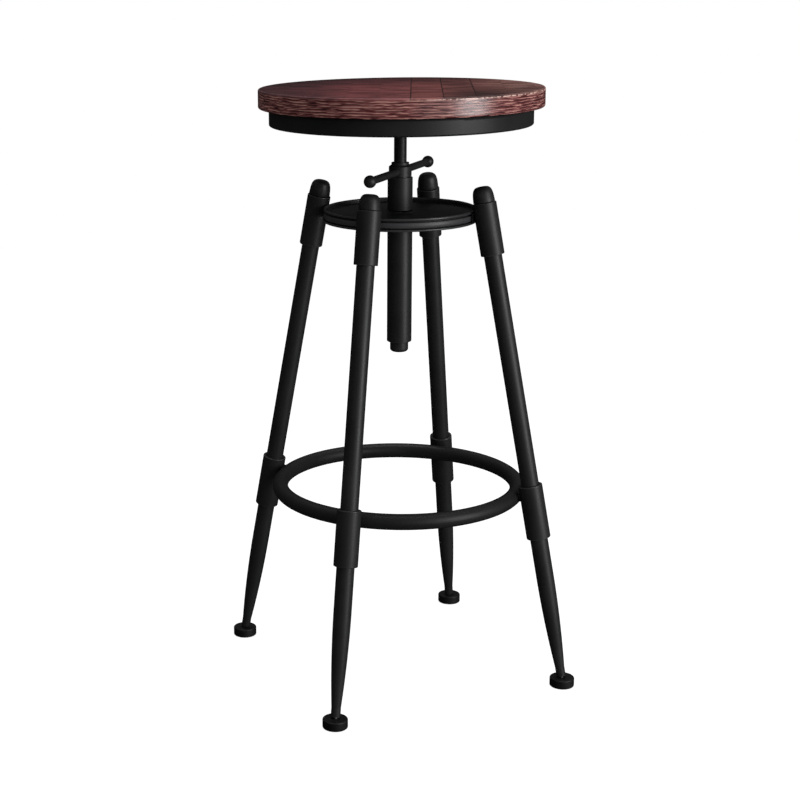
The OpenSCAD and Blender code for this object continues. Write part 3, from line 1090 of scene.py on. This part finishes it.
    def brush(self, recipe: Recipe) -> Any:
        """Lays out the nodes that comb the grain into the side.

        Args:
            recipe: The tree that gets the nodes.

        Returns:
            Output socket of the brushed board.
        """
        given, add = recipe.given, partial(add_node, recipe.tree)
        place = add("GeometryNodeInputPosition")
        across = add("ShaderNodeMath", (1.0, given["Ridge Spacing"]), operation="DIVIDE")
        along = add("ShaderNodeMath", (1.0, given["Ridge Length"]), operation="DIVIDE")
        stretch = add("ShaderNodeCombineXYZ", (along, along, across))

        # The same waves as the wood's own lines have
        waves = {"Vector": place, "W": given["Seed"], "Scale": per_mm(self.wood.wave_length), "Detail": 2.0}
        bend = add("ShaderNodeTexNoise", waves, "Color", noise_dimensions="4D")
        bend = add("ShaderNodeVectorMath", (bend, (0.5, 0.5, 0.5)), operation="SUBTRACT")
        lift = (0.0, 0.0, self.wood.wave_height * MM / self.ridge)
        bend = add("ShaderNodeVectorMath", (bend, lift), operation="MULTIPLY")
        where = add("ShaderNodeVectorMath", (place, stretch), operation="MULTIPLY")
        where = add("ShaderNodeVectorMath", (where, bend), operation="ADD")
        ridges = []
        for scale, detail, share in ((1.0, 3.0, 0.68), (2.3, 2.0, 0.32)):
            comb = {"Vector": where, "W": given["Seed"], "Scale": scale, "Detail": detail, "Roughness": 0.55}
            noise = add("ShaderNodeTexNoise", comb, noise_dimensions="4D")
            noise = add("ShaderNodeMapRange", (noise, 0.36, 0.64))
            ridges.append(add("ShaderNodeMath", (noise, share), operation="MULTIPLY"))
        grain = add("ShaderNodeMath", ridges, operation="ADD")
        side = add("GeometryNodeInputNamedAttribute", {"Name": "side"}, data_type="FLOAT")
        depth = add("ShaderNodeMath", (grain, 1.0), operation="SUBTRACT")
        depth = add("ShaderNodeMath", (depth, given["Depth"]), operation="MULTIPLY")
        depth = add("ShaderNodeMath", (depth, side), operation="MULTIPLY")
        normal = add("GeometryNodeInputNormal")
        push = add("ShaderNodeVectorMath", {"Vector": normal, "Scale": depth}, operation="SCALE")
        layer = {"Geometry": given["Geometry"], "Name": "grain", "Value": grain}
        stored = add("GeometryNodeStoreNamedAttribute", layer, data_type="FLOAT", domain="POINT")
        return add("GeometryNodeSetPosition", {"Geometry": stored, "Offset": push})

    def bolts(self) -> None:
        """Builds one button-head bolt and sets a copy on each point of the bolt circle."""
        low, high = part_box("seat_bolts")
        reach = high.x - self.bolt_head_r
        head_r, head_h, length = self.bolt_head_r, self.bolt_head_h, high.z - low.z
        profile = [
            (0.1 * MM, self.hexagon_depth),
            (self.hexagon_r - 0.3 * MM, self.hexagon_depth),
            (self.hexagon_r, 0.0),
            (head_r - 1.85 * MM, 0.0),
            (head_r - 0.75 * MM, 0.6 * MM),
            (head_r - 0.15 * MM, 1.6 * MM),
            (head_r, head_h - 0.3 * MM),
            (head_r - 0.15 * MM, head_h),
            (self.bolt_shank_r, head_h),
            (self.bolt_shank_r, length - self.bolt_tip),
            (self.bolt_shank_r - self.bolt_tip, length),
        ]
        hexagon = {ring: 6 for ring in range(3)}
        one = turned("button_bolt", profile, 24, hexagon)
        points = [(across * reach, along * reach, low.z) for across in (1, -1) for along in (1, -1)]
        piece = mesh_object("button_bolts", points)
        recipe = Recipe("bolts_on_points", {"Bolt": one, "Turn": self.bolt_turn})
        given, add = recipe.given, partial(add_node, recipe.tree)
        shape = add("GeometryNodeObjectInfo", {"Object": given["Bolt"]}, "Geometry")
        number = add("GeometryNodeInputIndex")
        turn = add("ShaderNodeMath", (number, given["Turn"]), operation="MULTIPLY")
        turn = add("ShaderNodeCombineXYZ", {"Z": turn})
        each = {"Points": given["Geometry"], "Instance": shape, "Rotation": turn}
        recipe.cook(piece, add("GeometryNodeInstanceOnPoints", each), self.finishes.zinc)
        bpy.data.objects.remove(one)
        face_outwards(piece)
        dress(piece, Body.SEAT, replaces=["seat_bolts"])


@dataclass
class SeatScrew(SubAssembly):
    """The two-start screw below the seat, with its stop washer and bolt."""

    pitch: float = 2.5 * MM
    starts: int = 2
    core_d: float = 10.7 * MM
    crest: float = 0.45 * MM
    root: float = 2.0 * MM
    overlap: float = 0.15 * MM
    runout: float = 0.02
    foot_r: float = 4.5 * MM
    foot_h: float = 2.6 * MM
    foot_chamfer: float = 0.5 * MM
    head_chamfer: float = 0.6 * MM
    shank_below_nut: float = 1.5 * MM
    shank_cone: float = 2.0 * MM
    thread_below_shank: float = 1.5 * MM

    def build(self) -> None:
        """Builds the screw and coats its stop."""
        self.screw()
        self.coat(["stop_washer", "stop_bolt"], self.finishes.zinc)

    def screw(self) -> None:
        """Builds the core and the bare shank, and winds the two threads round them."""
        low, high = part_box("seat_screw")
        radius, core, foot_r = high.x, self.core_d / 2, self.foot_r
        shoulder = low.z + self.foot_h
        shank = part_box("lock_nut")[1].z - self.shank_below_nut
        profile = [
            (foot_r - self.foot_chamfer, low.z),
            (foot_r, low.z + self.foot_chamfer),
            (foot_r, shoulder),
            (core, shoulder),
            (core, shank - self.shank_cone),
            (radius, shank),
            (radius, high.z - self.head_chamfer),
            (radius - self.head_chamfer, high.z),
        ]
        body = turned("screw_core", profile, SMALL_COLUMNS)
        body.data.materials.append(self.finishes.oxide)
        shade_by_area(body)

        start, end = shoulder + self.root / 2, shank - self.thread_below_shank
        thread = mesh_object("screw_thread", [(0.0, 0.0, start)])
        recipe = Recipe(
            "wound_thread",
            {
                "Radius": core - self.overlap,
                "Height": end - start,
                "Lead": self.pitch * self.starts,
                "Crest": radius - core + self.overlap,
                "Start": start,
            },
        )
        recipe.cook(thread, self.wind(recipe), self.finishes.oxide)
        face_outwards(thread)
        shell = bmesh.new()
        shell.from_mesh(body.data)
        shell.from_mesh(thread.data)
        shell.to_mesh(body.data)
        shell.free()
        bpy.data.objects.remove(thread)
        body.name = body.data.name = "threaded_seat_screw"
        dress(body, Body.SEAT, self.finishes.oxide, ["seat_screw"])

    def wind(self, recipe: Recipe) -> Any:
        """Lays out the nodes that wind one thread and turn a copy for each start.

        Args:
            recipe: The tree that gets the nodes.

        Returns:
            Output socket of the wound threads.
        """
        given, add = recipe.given, partial(add_node, recipe.tree)
        radius, height = given["Radius"], given["Height"]
        turns = add("ShaderNodeMath", (height, given["Lead"]), operation="DIVIDE")
        helix = {"Resolution": 40, "Rotations": turns, "Height": height, "Reverse": False}
        spiral = add("GeometryNodeCurveSpiral", helix | {"Start Radius": radius, "End Radius": radius})
        spiral = add("GeometryNodeSetCurveNormal", {"Curve": spiral}, mode="Z_UP")

        # The thread runs out at both ends
        share = add("GeometryNodeSplineParameter", out="Factor")
        rise = add("ShaderNodeMath", (share, self.runout), operation="DIVIDE")
        fall = add("ShaderNodeMath", (1.0, share), operation="SUBTRACT")
        fall = add("ShaderNodeMath", (fall, self.runout), operation="DIVIDE")
        size = add("ShaderNodeMath", (rise, fall), operation="MINIMUM")
        size = add("ShaderNodeMath", (size, 1.0), operation="MINIMUM")
        size = add("ShaderNodeMath", (size, 0.05), operation="MAXIMUM")
        wound = {"Curve": spiral, "Profile Curve": self.section(recipe), "Scale": size, "Fill Caps": True}
        thread = add("GeometryNodeCurveToMesh", wound)

        still = (0.0, 0.0, 0.0)
        spots = add("GeometryNodeMeshLine", {"Count": self.starts, "Offset": still}, mode="OFFSET")
        lift = add("ShaderNodeCombineXYZ", {"Z": given["Start"]})
        spots = add("GeometryNodeSetPosition", {"Geometry": spots, "Offset": lift})
        number = add("GeometryNodeInputIndex")
        angle = add("ShaderNodeMath", (number, 2 * math.pi / self.starts), operation="MULTIPLY")
        turn = add("ShaderNodeCombineXYZ", {"Z": angle})
        return add("GeometryNodeInstanceOnPoints", {"Points": spots, "Instance": thread, "Rotation": turn})

    def section(self, recipe: Recipe) -> Any:
        """Lays out the nodes that draw the thread's section, with its root sunk into the core.

        Args:
            recipe: The tree that gets the nodes.

        Returns:
            Output socket of the closed section.
        """
        add = partial(add_node, recipe.tree)
        base, tip, keel, sunk = self.root / 2, self.crest / 2, 0.3 * self.root, -0.25
        corners = [(-base, 0.0), (-tip, 1.0), (tip, 1.0), (base, 0.0), (keel, sunk), (-keel, sunk)]
        line = {"Count": len(corners), "Offset": (MM, 0.0, 0.0)}
        section = add("GeometryNodeMeshLine", line, mode="OFFSET")
        number = add("GeometryNodeInputIndex")
        for i, (wide, high) in enumerate(corners):
            height = add("ShaderNodeMath", (recipe.given["Crest"], high), operation="MULTIPLY")
            spot = add("ShaderNodeCombineXYZ", {"X": height, "Y": wide})
            mine = add("ShaderNodeMath", (number, float(i), 0.1), operation="COMPARE")
            moved = {"Geometry": section, "Selection": mine, "Position": spot}
            section = add("GeometryNodeSetPosition", moved)
        section = add("GeometryNodeMeshToCurve", {"Mesh": section})
        return add("GeometryNodeSetSplineCyclic", {"Geometry": section, "Cyclic": True})


@dataclass
class Lock(SubAssembly):
    """The lock nut with its ball-ended bar, on its thrust washer."""

    nut_edge: float = 0.4 * MM

    def build(self) -> None:
        """Coats the nut, the bar and the knobs, and blackens the washer."""
        self.ease("lock_nut", Body.LOCK, self.nut_edge)
        bar = ["lock_arm_front", "lock_arm_back", "ball_knob_front", "ball_knob_back"]
        self.coat(bar, self.finishes.coat)
        self.coat(["lock_washer"], self.finishes.oxide)


@dataclass
class Column(SubAssembly):
    """The column with its bush and end plug, and the dished plate that ties it to the legs."""

    tube_edge: float = 0.6 * MM
    plate_columns: int = 192
    lip_r: float = 1.5 * MM
    hem_r: float = 1.2 * MM
    groove: float = 2.8 * MM
    groove_over_hem: tuple[float, float] = (2.3 * MM, 3.6 * MM)
    band: tuple[float, float] = (3.8 * MM, 4.7 * MM)
    groove_under_lip: tuple[float, float] = (4.5 * MM, 3.0 * MM)
    dish: float = 4.9 * MM
    sheet: float = 1.8 * MM
    wall: float = 3.4 * MM
    wall_fillet: float = 1.5 * MM
    fillet: float = 3.0 * MM

    def build(self) -> None:
        """Coats the column and the plate, and finishes the bush and the plug."""
        self.ease("column_tube", Body.STAND, self.tube_edge)
        self.plate()
        self.coat(["column_nut"], self.finishes.zinc)
        self.coat(["column_plug"], self.finishes.plastic)

    def plate(self) -> None:
        """Builds the dished plate, with painted highlights on a bead above and below the band round its rim,
        and painted light on the band.
        """
        low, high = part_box("leg_plate")
        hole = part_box("column_tube")[1].x + 0.1 * MM
        rim, foot, top = high.x - LIP_INSET, low.z, high.z
        lip, hem, deep, band = self.lip_r, self.hem_r, rim - self.groove, rim - 0.3 * MM
        floor, wall, bend = top - self.dish, rim - self.wall, self.wall_fillet
        inner = deep - 0.6 * self.sheet
        # The plain coat is the pressed sheet's own; the beads' lighter coat is a painted highlight and the
        # band's is painted light
        coats = [self.finishes.pan_coat, self.finishes.rubbed_coat, self.finishes.painted_light_band_coat]
        plain, rubbed, pale = range(len(coats))
        collar = ((1.0, 0.0), (0.35, 0.35), (0.0, 1.0))
        stretches = [
            (rubbed, arc((high.x - hem, foot + hem), hem, -100, 70, 10)),
            (plain, [(deep, foot + height) for height in self.groove_over_hem]),
            (pale, [(band, foot + self.band[0]), (band, top - self.band[1])]),
            (plain, [(deep, top - depth) for depth in self.groove_under_lip]),
            (rubbed, arc((rim - lip, top - lip), lip, -70, 190, 14)),
            (plain, [(wall, top - 2.4 * MM), *reversed(arc((wall - bend, floor + bend), bend, -90, 0, 5))]),
            (plain, [(hole + reach * self.fillet, floor + climb * self.fillet) for reach, climb in collar]),
            (plain, [(hole, floor - self.sheet), (inner, floor - self.sheet), (inner, foot + 0.4 * MM)]),
        ]
        profile = [point for _coat, points in stretches for point in points]
        piece = turned("rolled_leg_plate", profile, self.plate_columns, holed=True)
        for material in coats:
            piece.data.materials.append(material)

        # A ring of faces lies between each two points, and the step from one stretch to the next is plain
        rings = [ring for finish, points in stretches for ring in [finish] * (len(points) - 1) + [plain]]
        for number, face in enumerate(piece.data.polygons):
            face.material_index = rings[number // self.plate_columns]
        face_outwards(piece)
        shade_by_area(piece)
        dress(piece, Body.STAND, replaces=["leg_plate"])


@dataclass(frozen=True)
class Bead:
    """A kind of weld bead, which swells and shrinks along its way by a share of its radius."""

    name: str
    radius: float
    ripple: float
    seed: float
    closed: bool


@dataclass
class Stand(SubAssembly):
    """The four legs with their sleeves, caps, ends and pads, and the foot ring welded between them."""

    sleeve_edge: float = 0.7 * MM
    ring_bead: Bead = Bead("ring_weld_beads", radius=0.95 * MM, ripple=0.16, seed=2.3, closed=True)
    ring_bead_steps: int = 56
    ring_gap: float = 1.1 * MM
    plate_bead: Bead = Bead("plate_weld_beads", radius=1.3 * MM, ripple=0.2, seed=5.1, closed=False)
    plate_bead_steps: int = 14
    plate_bead_at: float = 5.1 * MM
    ripple_length: float = 1.6
    cap_seam: float = 0.8 * MM
    cap_fullness: float = 4.0
    cap_taper: float = 0.09
    cap_steps: int = 24

    def build(self) -> None:
        """Dresses the legs and the ring, and lays the weld beads."""
        for side in Side:
            self.ease(side.node("top_sleeve"), Body.STAND, self.sleeve_edge)
            self.ease(side.node("ring_sleeve"), Body.STAND, self.sleeve_edge)
            self.coat([side.node("leg_tube"), side.node("leg_end")], self.finishes.coat)
            self.cap(side)
            self.coat([side.node("foot_pad")], self.finishes.rubber)
            self.coat([side.node("foot_stud")], self.finishes.zinc)
        self.coat(["foot_ring"], self.finishes.pan_coat)
        self.weld(self.ring_bead, self.ring_joints())
        self.weld(self.plate_bead, self.plate_joints())

    def leg_axis(self, side: Side) -> tuple[Vector, Vector]:
        """Measures one leg's axis from its two sleeves.

        Args:
            side: The leg.

        Returns:
            A point on the axis at the ring's sleeve, and the direction up the leg.
        """
        middles = [sum(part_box(side.node(kind)), Vector()) / 2 for kind in ("ring_sleeve", "top_sleeve")]
        return middles[0], (middles[1] - middles[0]).normalized()

    def cap(self, side: Side) -> None:
        """Moulds one leg's cap with a rounded crown, and a seam round its foot.

        Args:
            side: The leg.
        """
        name = side.node("leg_cap")
        spot, climb = self.leg_axis(side)
        corners = [vertex.co - spot for vertex in self.nodes[name].data.vertices]
        rises = [corner.dot(climb) for corner in corners]
        reaches = [(corner - climb * rise).length for corner, rise in zip(corners, rises)]
        radius, crown = max(reaches), max(rises)
        foot = min(rise for rise, reach in zip(rises, reaches) if reach > 0.98 * radius)
        seam, power = self.cap_seam, 2 / self.cap_fullness
        profile = [(radius - seam, foot), (radius - seam, foot + 0.6 * seam)]
        for i in range(self.cap_steps):
            angle = 0.5 * math.pi * i / self.cap_steps
            share = math.sin(angle) ** power
            reach = radius * (1 - self.cap_taper * share) * math.cos(angle) ** power
            profile.append((reach, foot + seam + (crown - foot - seam) * share))
        piece = turned(f"moulded_{name}", profile, SMALL_COLUMNS)
        piece.data.transform(Matrix.LocRotScale(spot, climb.to_track_quat("Z", "Y"), None))
        face_outwards(piece)
        shade_by_area(piece)
        dress(piece, Body.STAND, self.finishes.plastic, [name])

    def ring_joints(self) -> list[list[Vector]]:
        """Follows the gap where the foot ring touches each leg's sleeve.

        Returns:
            One closed run of points for each leg.
        """
        low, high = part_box("foot_ring")
        tube_r = (high.z - low.z) / 2
        middle, ring_r = (high.z + low.z) / 2, high.x - tube_r
        sleeve_low, sleeve_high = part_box(Side.RIGHT.node("ring_sleeve"))
        wide = math.sqrt((sleeve_high.y - sleeve_low.y) * self.ring_gap)
        tall = math.sqrt(2 * tube_r * self.ring_gap)
        angles = [2 * math.pi * i / self.ring_bead_steps for i in range(self.ring_bead_steps)]
        runs = []
        for side in Side:
            out, tangent = side.axes()
            _spot, climb = self.leg_axis(side)
            normal = tangent.cross(climb).normalized()
            if normal.dot(out) < 0:
                normal.negate()
            contact = out * ring_r + Vector((0.0, 0.0, middle)) + normal * (tube_r + 0.1 * MM)
            runs.append(
                [
                    contact
                    + tangent * wide * math.cos(angle)
                    + climb * tall * math.sin(angle)
                    + normal * self.ring_gap / 2 * math.cos(2 * angle)
                    for angle in angles
                ]
            )
        return runs

    def plate_joints(self) -> list[list[Vector]]:
        """Follows the two upright gaps between the leg plate's rim and each top sleeve.

        Returns:
            Two open runs of points for each leg.
        """
        low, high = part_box("leg_plate")
        foot, top = low.z + 1.6 * MM, high.z - 2.4 * MM
        rim, across, last = high.x - LIP_INSET, self.plate_bead_at, self.plate_bead_steps - 1
        reach = math.sqrt(rim * rim - across * across) + 0.35 * MM
        heights = [foot + (top - foot) * i / last for i in range(self.plate_bead_steps)]
        runs = []
        for side in Side:
            out, tangent = side.axes()
            for way in (-1, 1):
                start = out * reach + tangent * across * way
                runs.append([start + Vector((0.0, 0.0, height)) for height in heights])
        return runs

    def weld(self, bead: Bead, runs: list[list[Vector]]) -> None:
        """Lays rippled weld beads along their joints.

        Args:
            bead: The kind of bead.
            runs: The points that each bead follows.
        """
        piece = path_object(bead.name, runs, bead.closed)
        recipe = Recipe(bead.name, {"Bead Radius": bead.radius, "Ripple": bead.ripple, "Seed": bead.seed})
        given, add = recipe.given, partial(add_node, recipe.tree)
        path = add("GeometryNodeMeshToCurve", {"Mesh": given["Geometry"]})
        place = add("GeometryNodeInputPosition")
        ripples = {"Vector": place, "W": given["Seed"], "Scale": per_mm(self.ripple_length), "Detail": 1.0}
        swell = add("ShaderNodeTexNoise", ripples, noise_dimensions="4D")
        swell = add("ShaderNodeMath", (swell, 0.5), operation="SUBTRACT")
        swell = add("ShaderNodeMath", (swell, given["Ripple"]), operation="MULTIPLY")
        swell = add("ShaderNodeMath", (swell, 2.0), operation="MULTIPLY")
        swell = add("ShaderNodeMath", (swell, 1.0), operation="ADD")
        circle = add("GeometryNodeCurvePrimitiveCircle", {"Resolution": 12, "Radius": given["Bead Radius"]})
        beads = {"Curve": path, "Profile Curve": circle, "Scale": swell, "Fill Caps": True}
        recipe.cook(piece, add("GeometryNodeCurveToMesh", beads), self.finishes.coat)
        face_outwards(piece)
        dress(piece, Body.STAND)


# ---------------------------------------------------------------------------------------------------------
# Studio


@dataclass(frozen=True)
class StoolCamera:
    """Camera on a tripod, a little above the seat, turned and pitched towards the foot ring."""

    distance: float = 1.772454
    sidestep: float = -0.152448
    height: float = 0.775199
    turn: float = 24.424241
    pitch: float = 14.753298
    roll: float = -0.885484
    lens: float = 75.08111
    shift: float = 0.175

    def build(self) -> None:
        """Makes the camera and sets it as the scene's."""
        turn, pitch, roll = (math.radians(a) for a in (self.turn, self.pitch, self.roll))
        about = Matrix.Rotation(turn, 3, "Z")
        ahead = Vector((0.0, math.cos(pitch), -math.sin(pitch)))
        right = Vector((1.0, 0.0, 0.0))
        up = right.cross(ahead)
        level = right * math.cos(roll) + up * math.sin(roll)
        upright = -right * math.sin(roll) + up * math.cos(roll)
        axes = Matrix((about @ level, about @ upright, about @ -ahead)).transposed()
        place = about @ Vector((self.sidestep, -self.distance, self.height))
        data = bpy.data.cameras.new("stool_camera")
        data.sensor_width, data.sensor_fit = 36.0, "HORIZONTAL"
        data.lens, data.shift_x = self.lens, self.shift
        data.clip_start, data.clip_end = 0.05, 50.0
        camera = linked("stool_camera", data)
        camera.matrix_world = Matrix.LocRotScale(place, axes.to_quaternion(), None)
        bpy.context.scene.camera = camera
        LOG.info("camera at %.3f %.3f %.3f", *place)


@dataclass(frozen=True)
class Softbox:
    """A soft rectangular lamp that faces the stool."""

    name: str
    bearing: float
    away: float
    height: float
    width: float
    tall: float
    power: float
    aim: float = 0.45

    def build(self) -> None:
        """Makes the lamp, at its bearing from the front towards the right side."""
        angle = math.radians(self.bearing)
        place = Vector((math.sin(angle) * self.away, -math.cos(angle) * self.away, self.height))
        data = bpy.data.lights.new(self.name, "AREA")
        data.shape, data.size, data.size_y, data.energy = "RECTANGLE", self.width, self.tall, self.power
        look = (Vector((0.0, 0.0, self.aim)) - place).normalized()
        linked(self.name, data).matrix_world = Matrix.LocRotScale(place, look.to_track_quat("-Z", "Y"), None)
        LOG.info("%s: %.1f W", self.name, self.power)


@dataclass(frozen=True)
class Studio:
    """A white surround with a pale floor, three softboxes, and the dark cards that a black coat mirrors.

    A satin black shows what it mirrors and little else. In a white room its edges turn grey, and so does a
    lacquered board seen along its face. The cards stand round the stool for reflections alone, and the camera
    sees the white room.
    """

    floor_r: float = 3.0
    floor_sides: int = 96
    floor_below: float = 0.2 * MM
    floor_grey: float = 0.3
    floor_glow: float = 0.9
    fill: float = 0.35
    cards_r: float = 3.6
    cards_at: float = 0.4
    dark: float = 0.02
    overhead: float = 0.2
    overhead_rise: tuple[float, float] = (1.2, 3.0)
    right_card: float = 0.12
    right_reach: tuple[float, float] = (0.6, 3.2)
    softboxes: tuple[Softbox, ...] = (
        Softbox("key_softbox", bearing=75.5, away=2.0, height=0.62, width=0.8, tall=1.3, power=27.0),
        Softbox("fill_softbox", bearing=46.0, away=2.4, height=0.7, width=1.2, tall=1.3, power=3.5),
        Softbox("top_softbox", bearing=200.0, away=0.25, height=2.35, width=1.4, tall=1.4, power=20.0),
    )

    def build(self) -> None:
        """Makes the world, the floor, the cards and the lamps."""
        bpy.context.scene.view_settings.view_transform = "Standard"
        self.world()
        self.floor()
        self.cards()
        for softbox in self.softboxes:
            softbox.build()

    def seen(self, tree: bpy.types.NodeTree) -> Any:
        """Share of a ray that sees the white surround: 1 for camera, glossy and transmission rays.

        Args:
            tree: The tree that gets the nodes.

        Returns:
            Output socket of the share.
        """
        share = add_node(tree, "ShaderNodeLightPath", out="Is Camera Ray")
        path = share.node.outputs
        for kind in ("Is Glossy Ray", "Is Transmission Ray"):
            share = add_node(tree, "ShaderNodeMath", (share, path[kind]), operation="MAXIMUM")
        return share

    def world(self) -> None:
        """Builds the surround, white where it is seen and grey as a light."""
        world = bpy.data.worlds.new("white_room")
        bpy.context.scene.world = world
        add = partial(add_node, bare_tree(world))
        white = (1.0, 1.0, 1.0, 1.0)
        light = add("ShaderNodeBackground", {"Color": white, "Strength": self.fill})
        bright = add("ShaderNodeBackground", {"Color": white, "Strength": 1.0})
        mix = add("ShaderNodeMixShader", (self.seen(world.node_tree), light, bright))
        add("ShaderNodeOutputWorld", {"Surface": mix})

    def floor(self) -> None:
        """Builds a pale round floor that is white to the eye and keeps the stool's shadow."""
        angles = [2 * math.pi * i / self.floor_sides for i in range(self.floor_sides)]
        points = [(self.floor_r * math.cos(a), self.floor_r * math.sin(a), -self.floor_below) for a in angles]
        floor = mesh_object("studio_floor", points, [tuple(range(self.floor_sides))], smooth=False)
        material = bpy.data.materials.new("pale_floor")
        add = partial(add_node, bare_tree(material))
        grey = (self.floor_grey, self.floor_grey, self.floor_grey, 1.0)
        paint = add("ShaderNodeBsdfDiffuse", {"Color": grey})
        seen = self.seen(material.node_tree)
        strength = add("ShaderNodeMath", (seen, self.floor_glow), operation="MULTIPLY")
        glow = add("ShaderNodeEmission", {"Strength": strength})
        add("ShaderNodeOutputMaterial", {"Surface": add("ShaderNodeAddShader", (paint, glow))})
        floor.data.materials.append(material)
        floor.visible_glossy = False

    def cards(self) -> None:
        """Builds a ball of cards round the stool that only reflections see, dark with a pale ceiling."""
        shell = bmesh.new()
        bmesh.ops.create_uvsphere(shell, u_segments=48, v_segments=24, radius=self.cards_r)
        bmesh.ops.translate(shell, verts=shell.verts, vec=(0.0, 0.0, self.cards_at))
        mesh = bpy.data.meshes.new("studio_cards")
        shell.to_mesh(mesh)
        shell.free()
        cards = linked("studio_cards", mesh)
        material = bpy.data.materials.new("card_cloth")
        add = partial(add_node, bare_tree(material))
        place = add("ShaderNodeTexCoord", out="Object")
        axes = add("ShaderNodeSeparateXYZ", {"Vector": place}).node.outputs
        ceiling = (axes["Z"], *self.overhead_rise, 0.0, self.overhead)
        right = (axes["X"], *self.right_reach, self.dark, self.right_card)
        levels = [
            add("ShaderNodeMapRange", card, interpolation_type="SMOOTHSTEP") for card in (ceiling, right)
        ]
        level = add("ShaderNodeMath", levels, operation="ADD")
        add("ShaderNodeOutputMaterial", {"Surface": add("ShaderNodeEmission", {"Strength": level})})
        mesh.materials.append(material)
        for kind in ("camera", "diffuse", "transmission", "volume_scatter", "shadow"):
            setattr(cards, f"visible_{kind}", False)


def main() -> None:
    """Loads the solids, dresses the stool and sets up the studio."""
    logging.basicConfig(level=logging.INFO, format="%(name)s: %(message)s")
    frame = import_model()
    nodes = frame["nodes"]
    StoolCamera().build()
    finishes = Finishes()
    for part in (SeatTop, SeatScrew, Lock, Column, Stand):
        part(finishes, nodes).build()
        LOG.info("%s done", part.__name__)
    Studio().build()


if __name__ == "__main__":
    main()
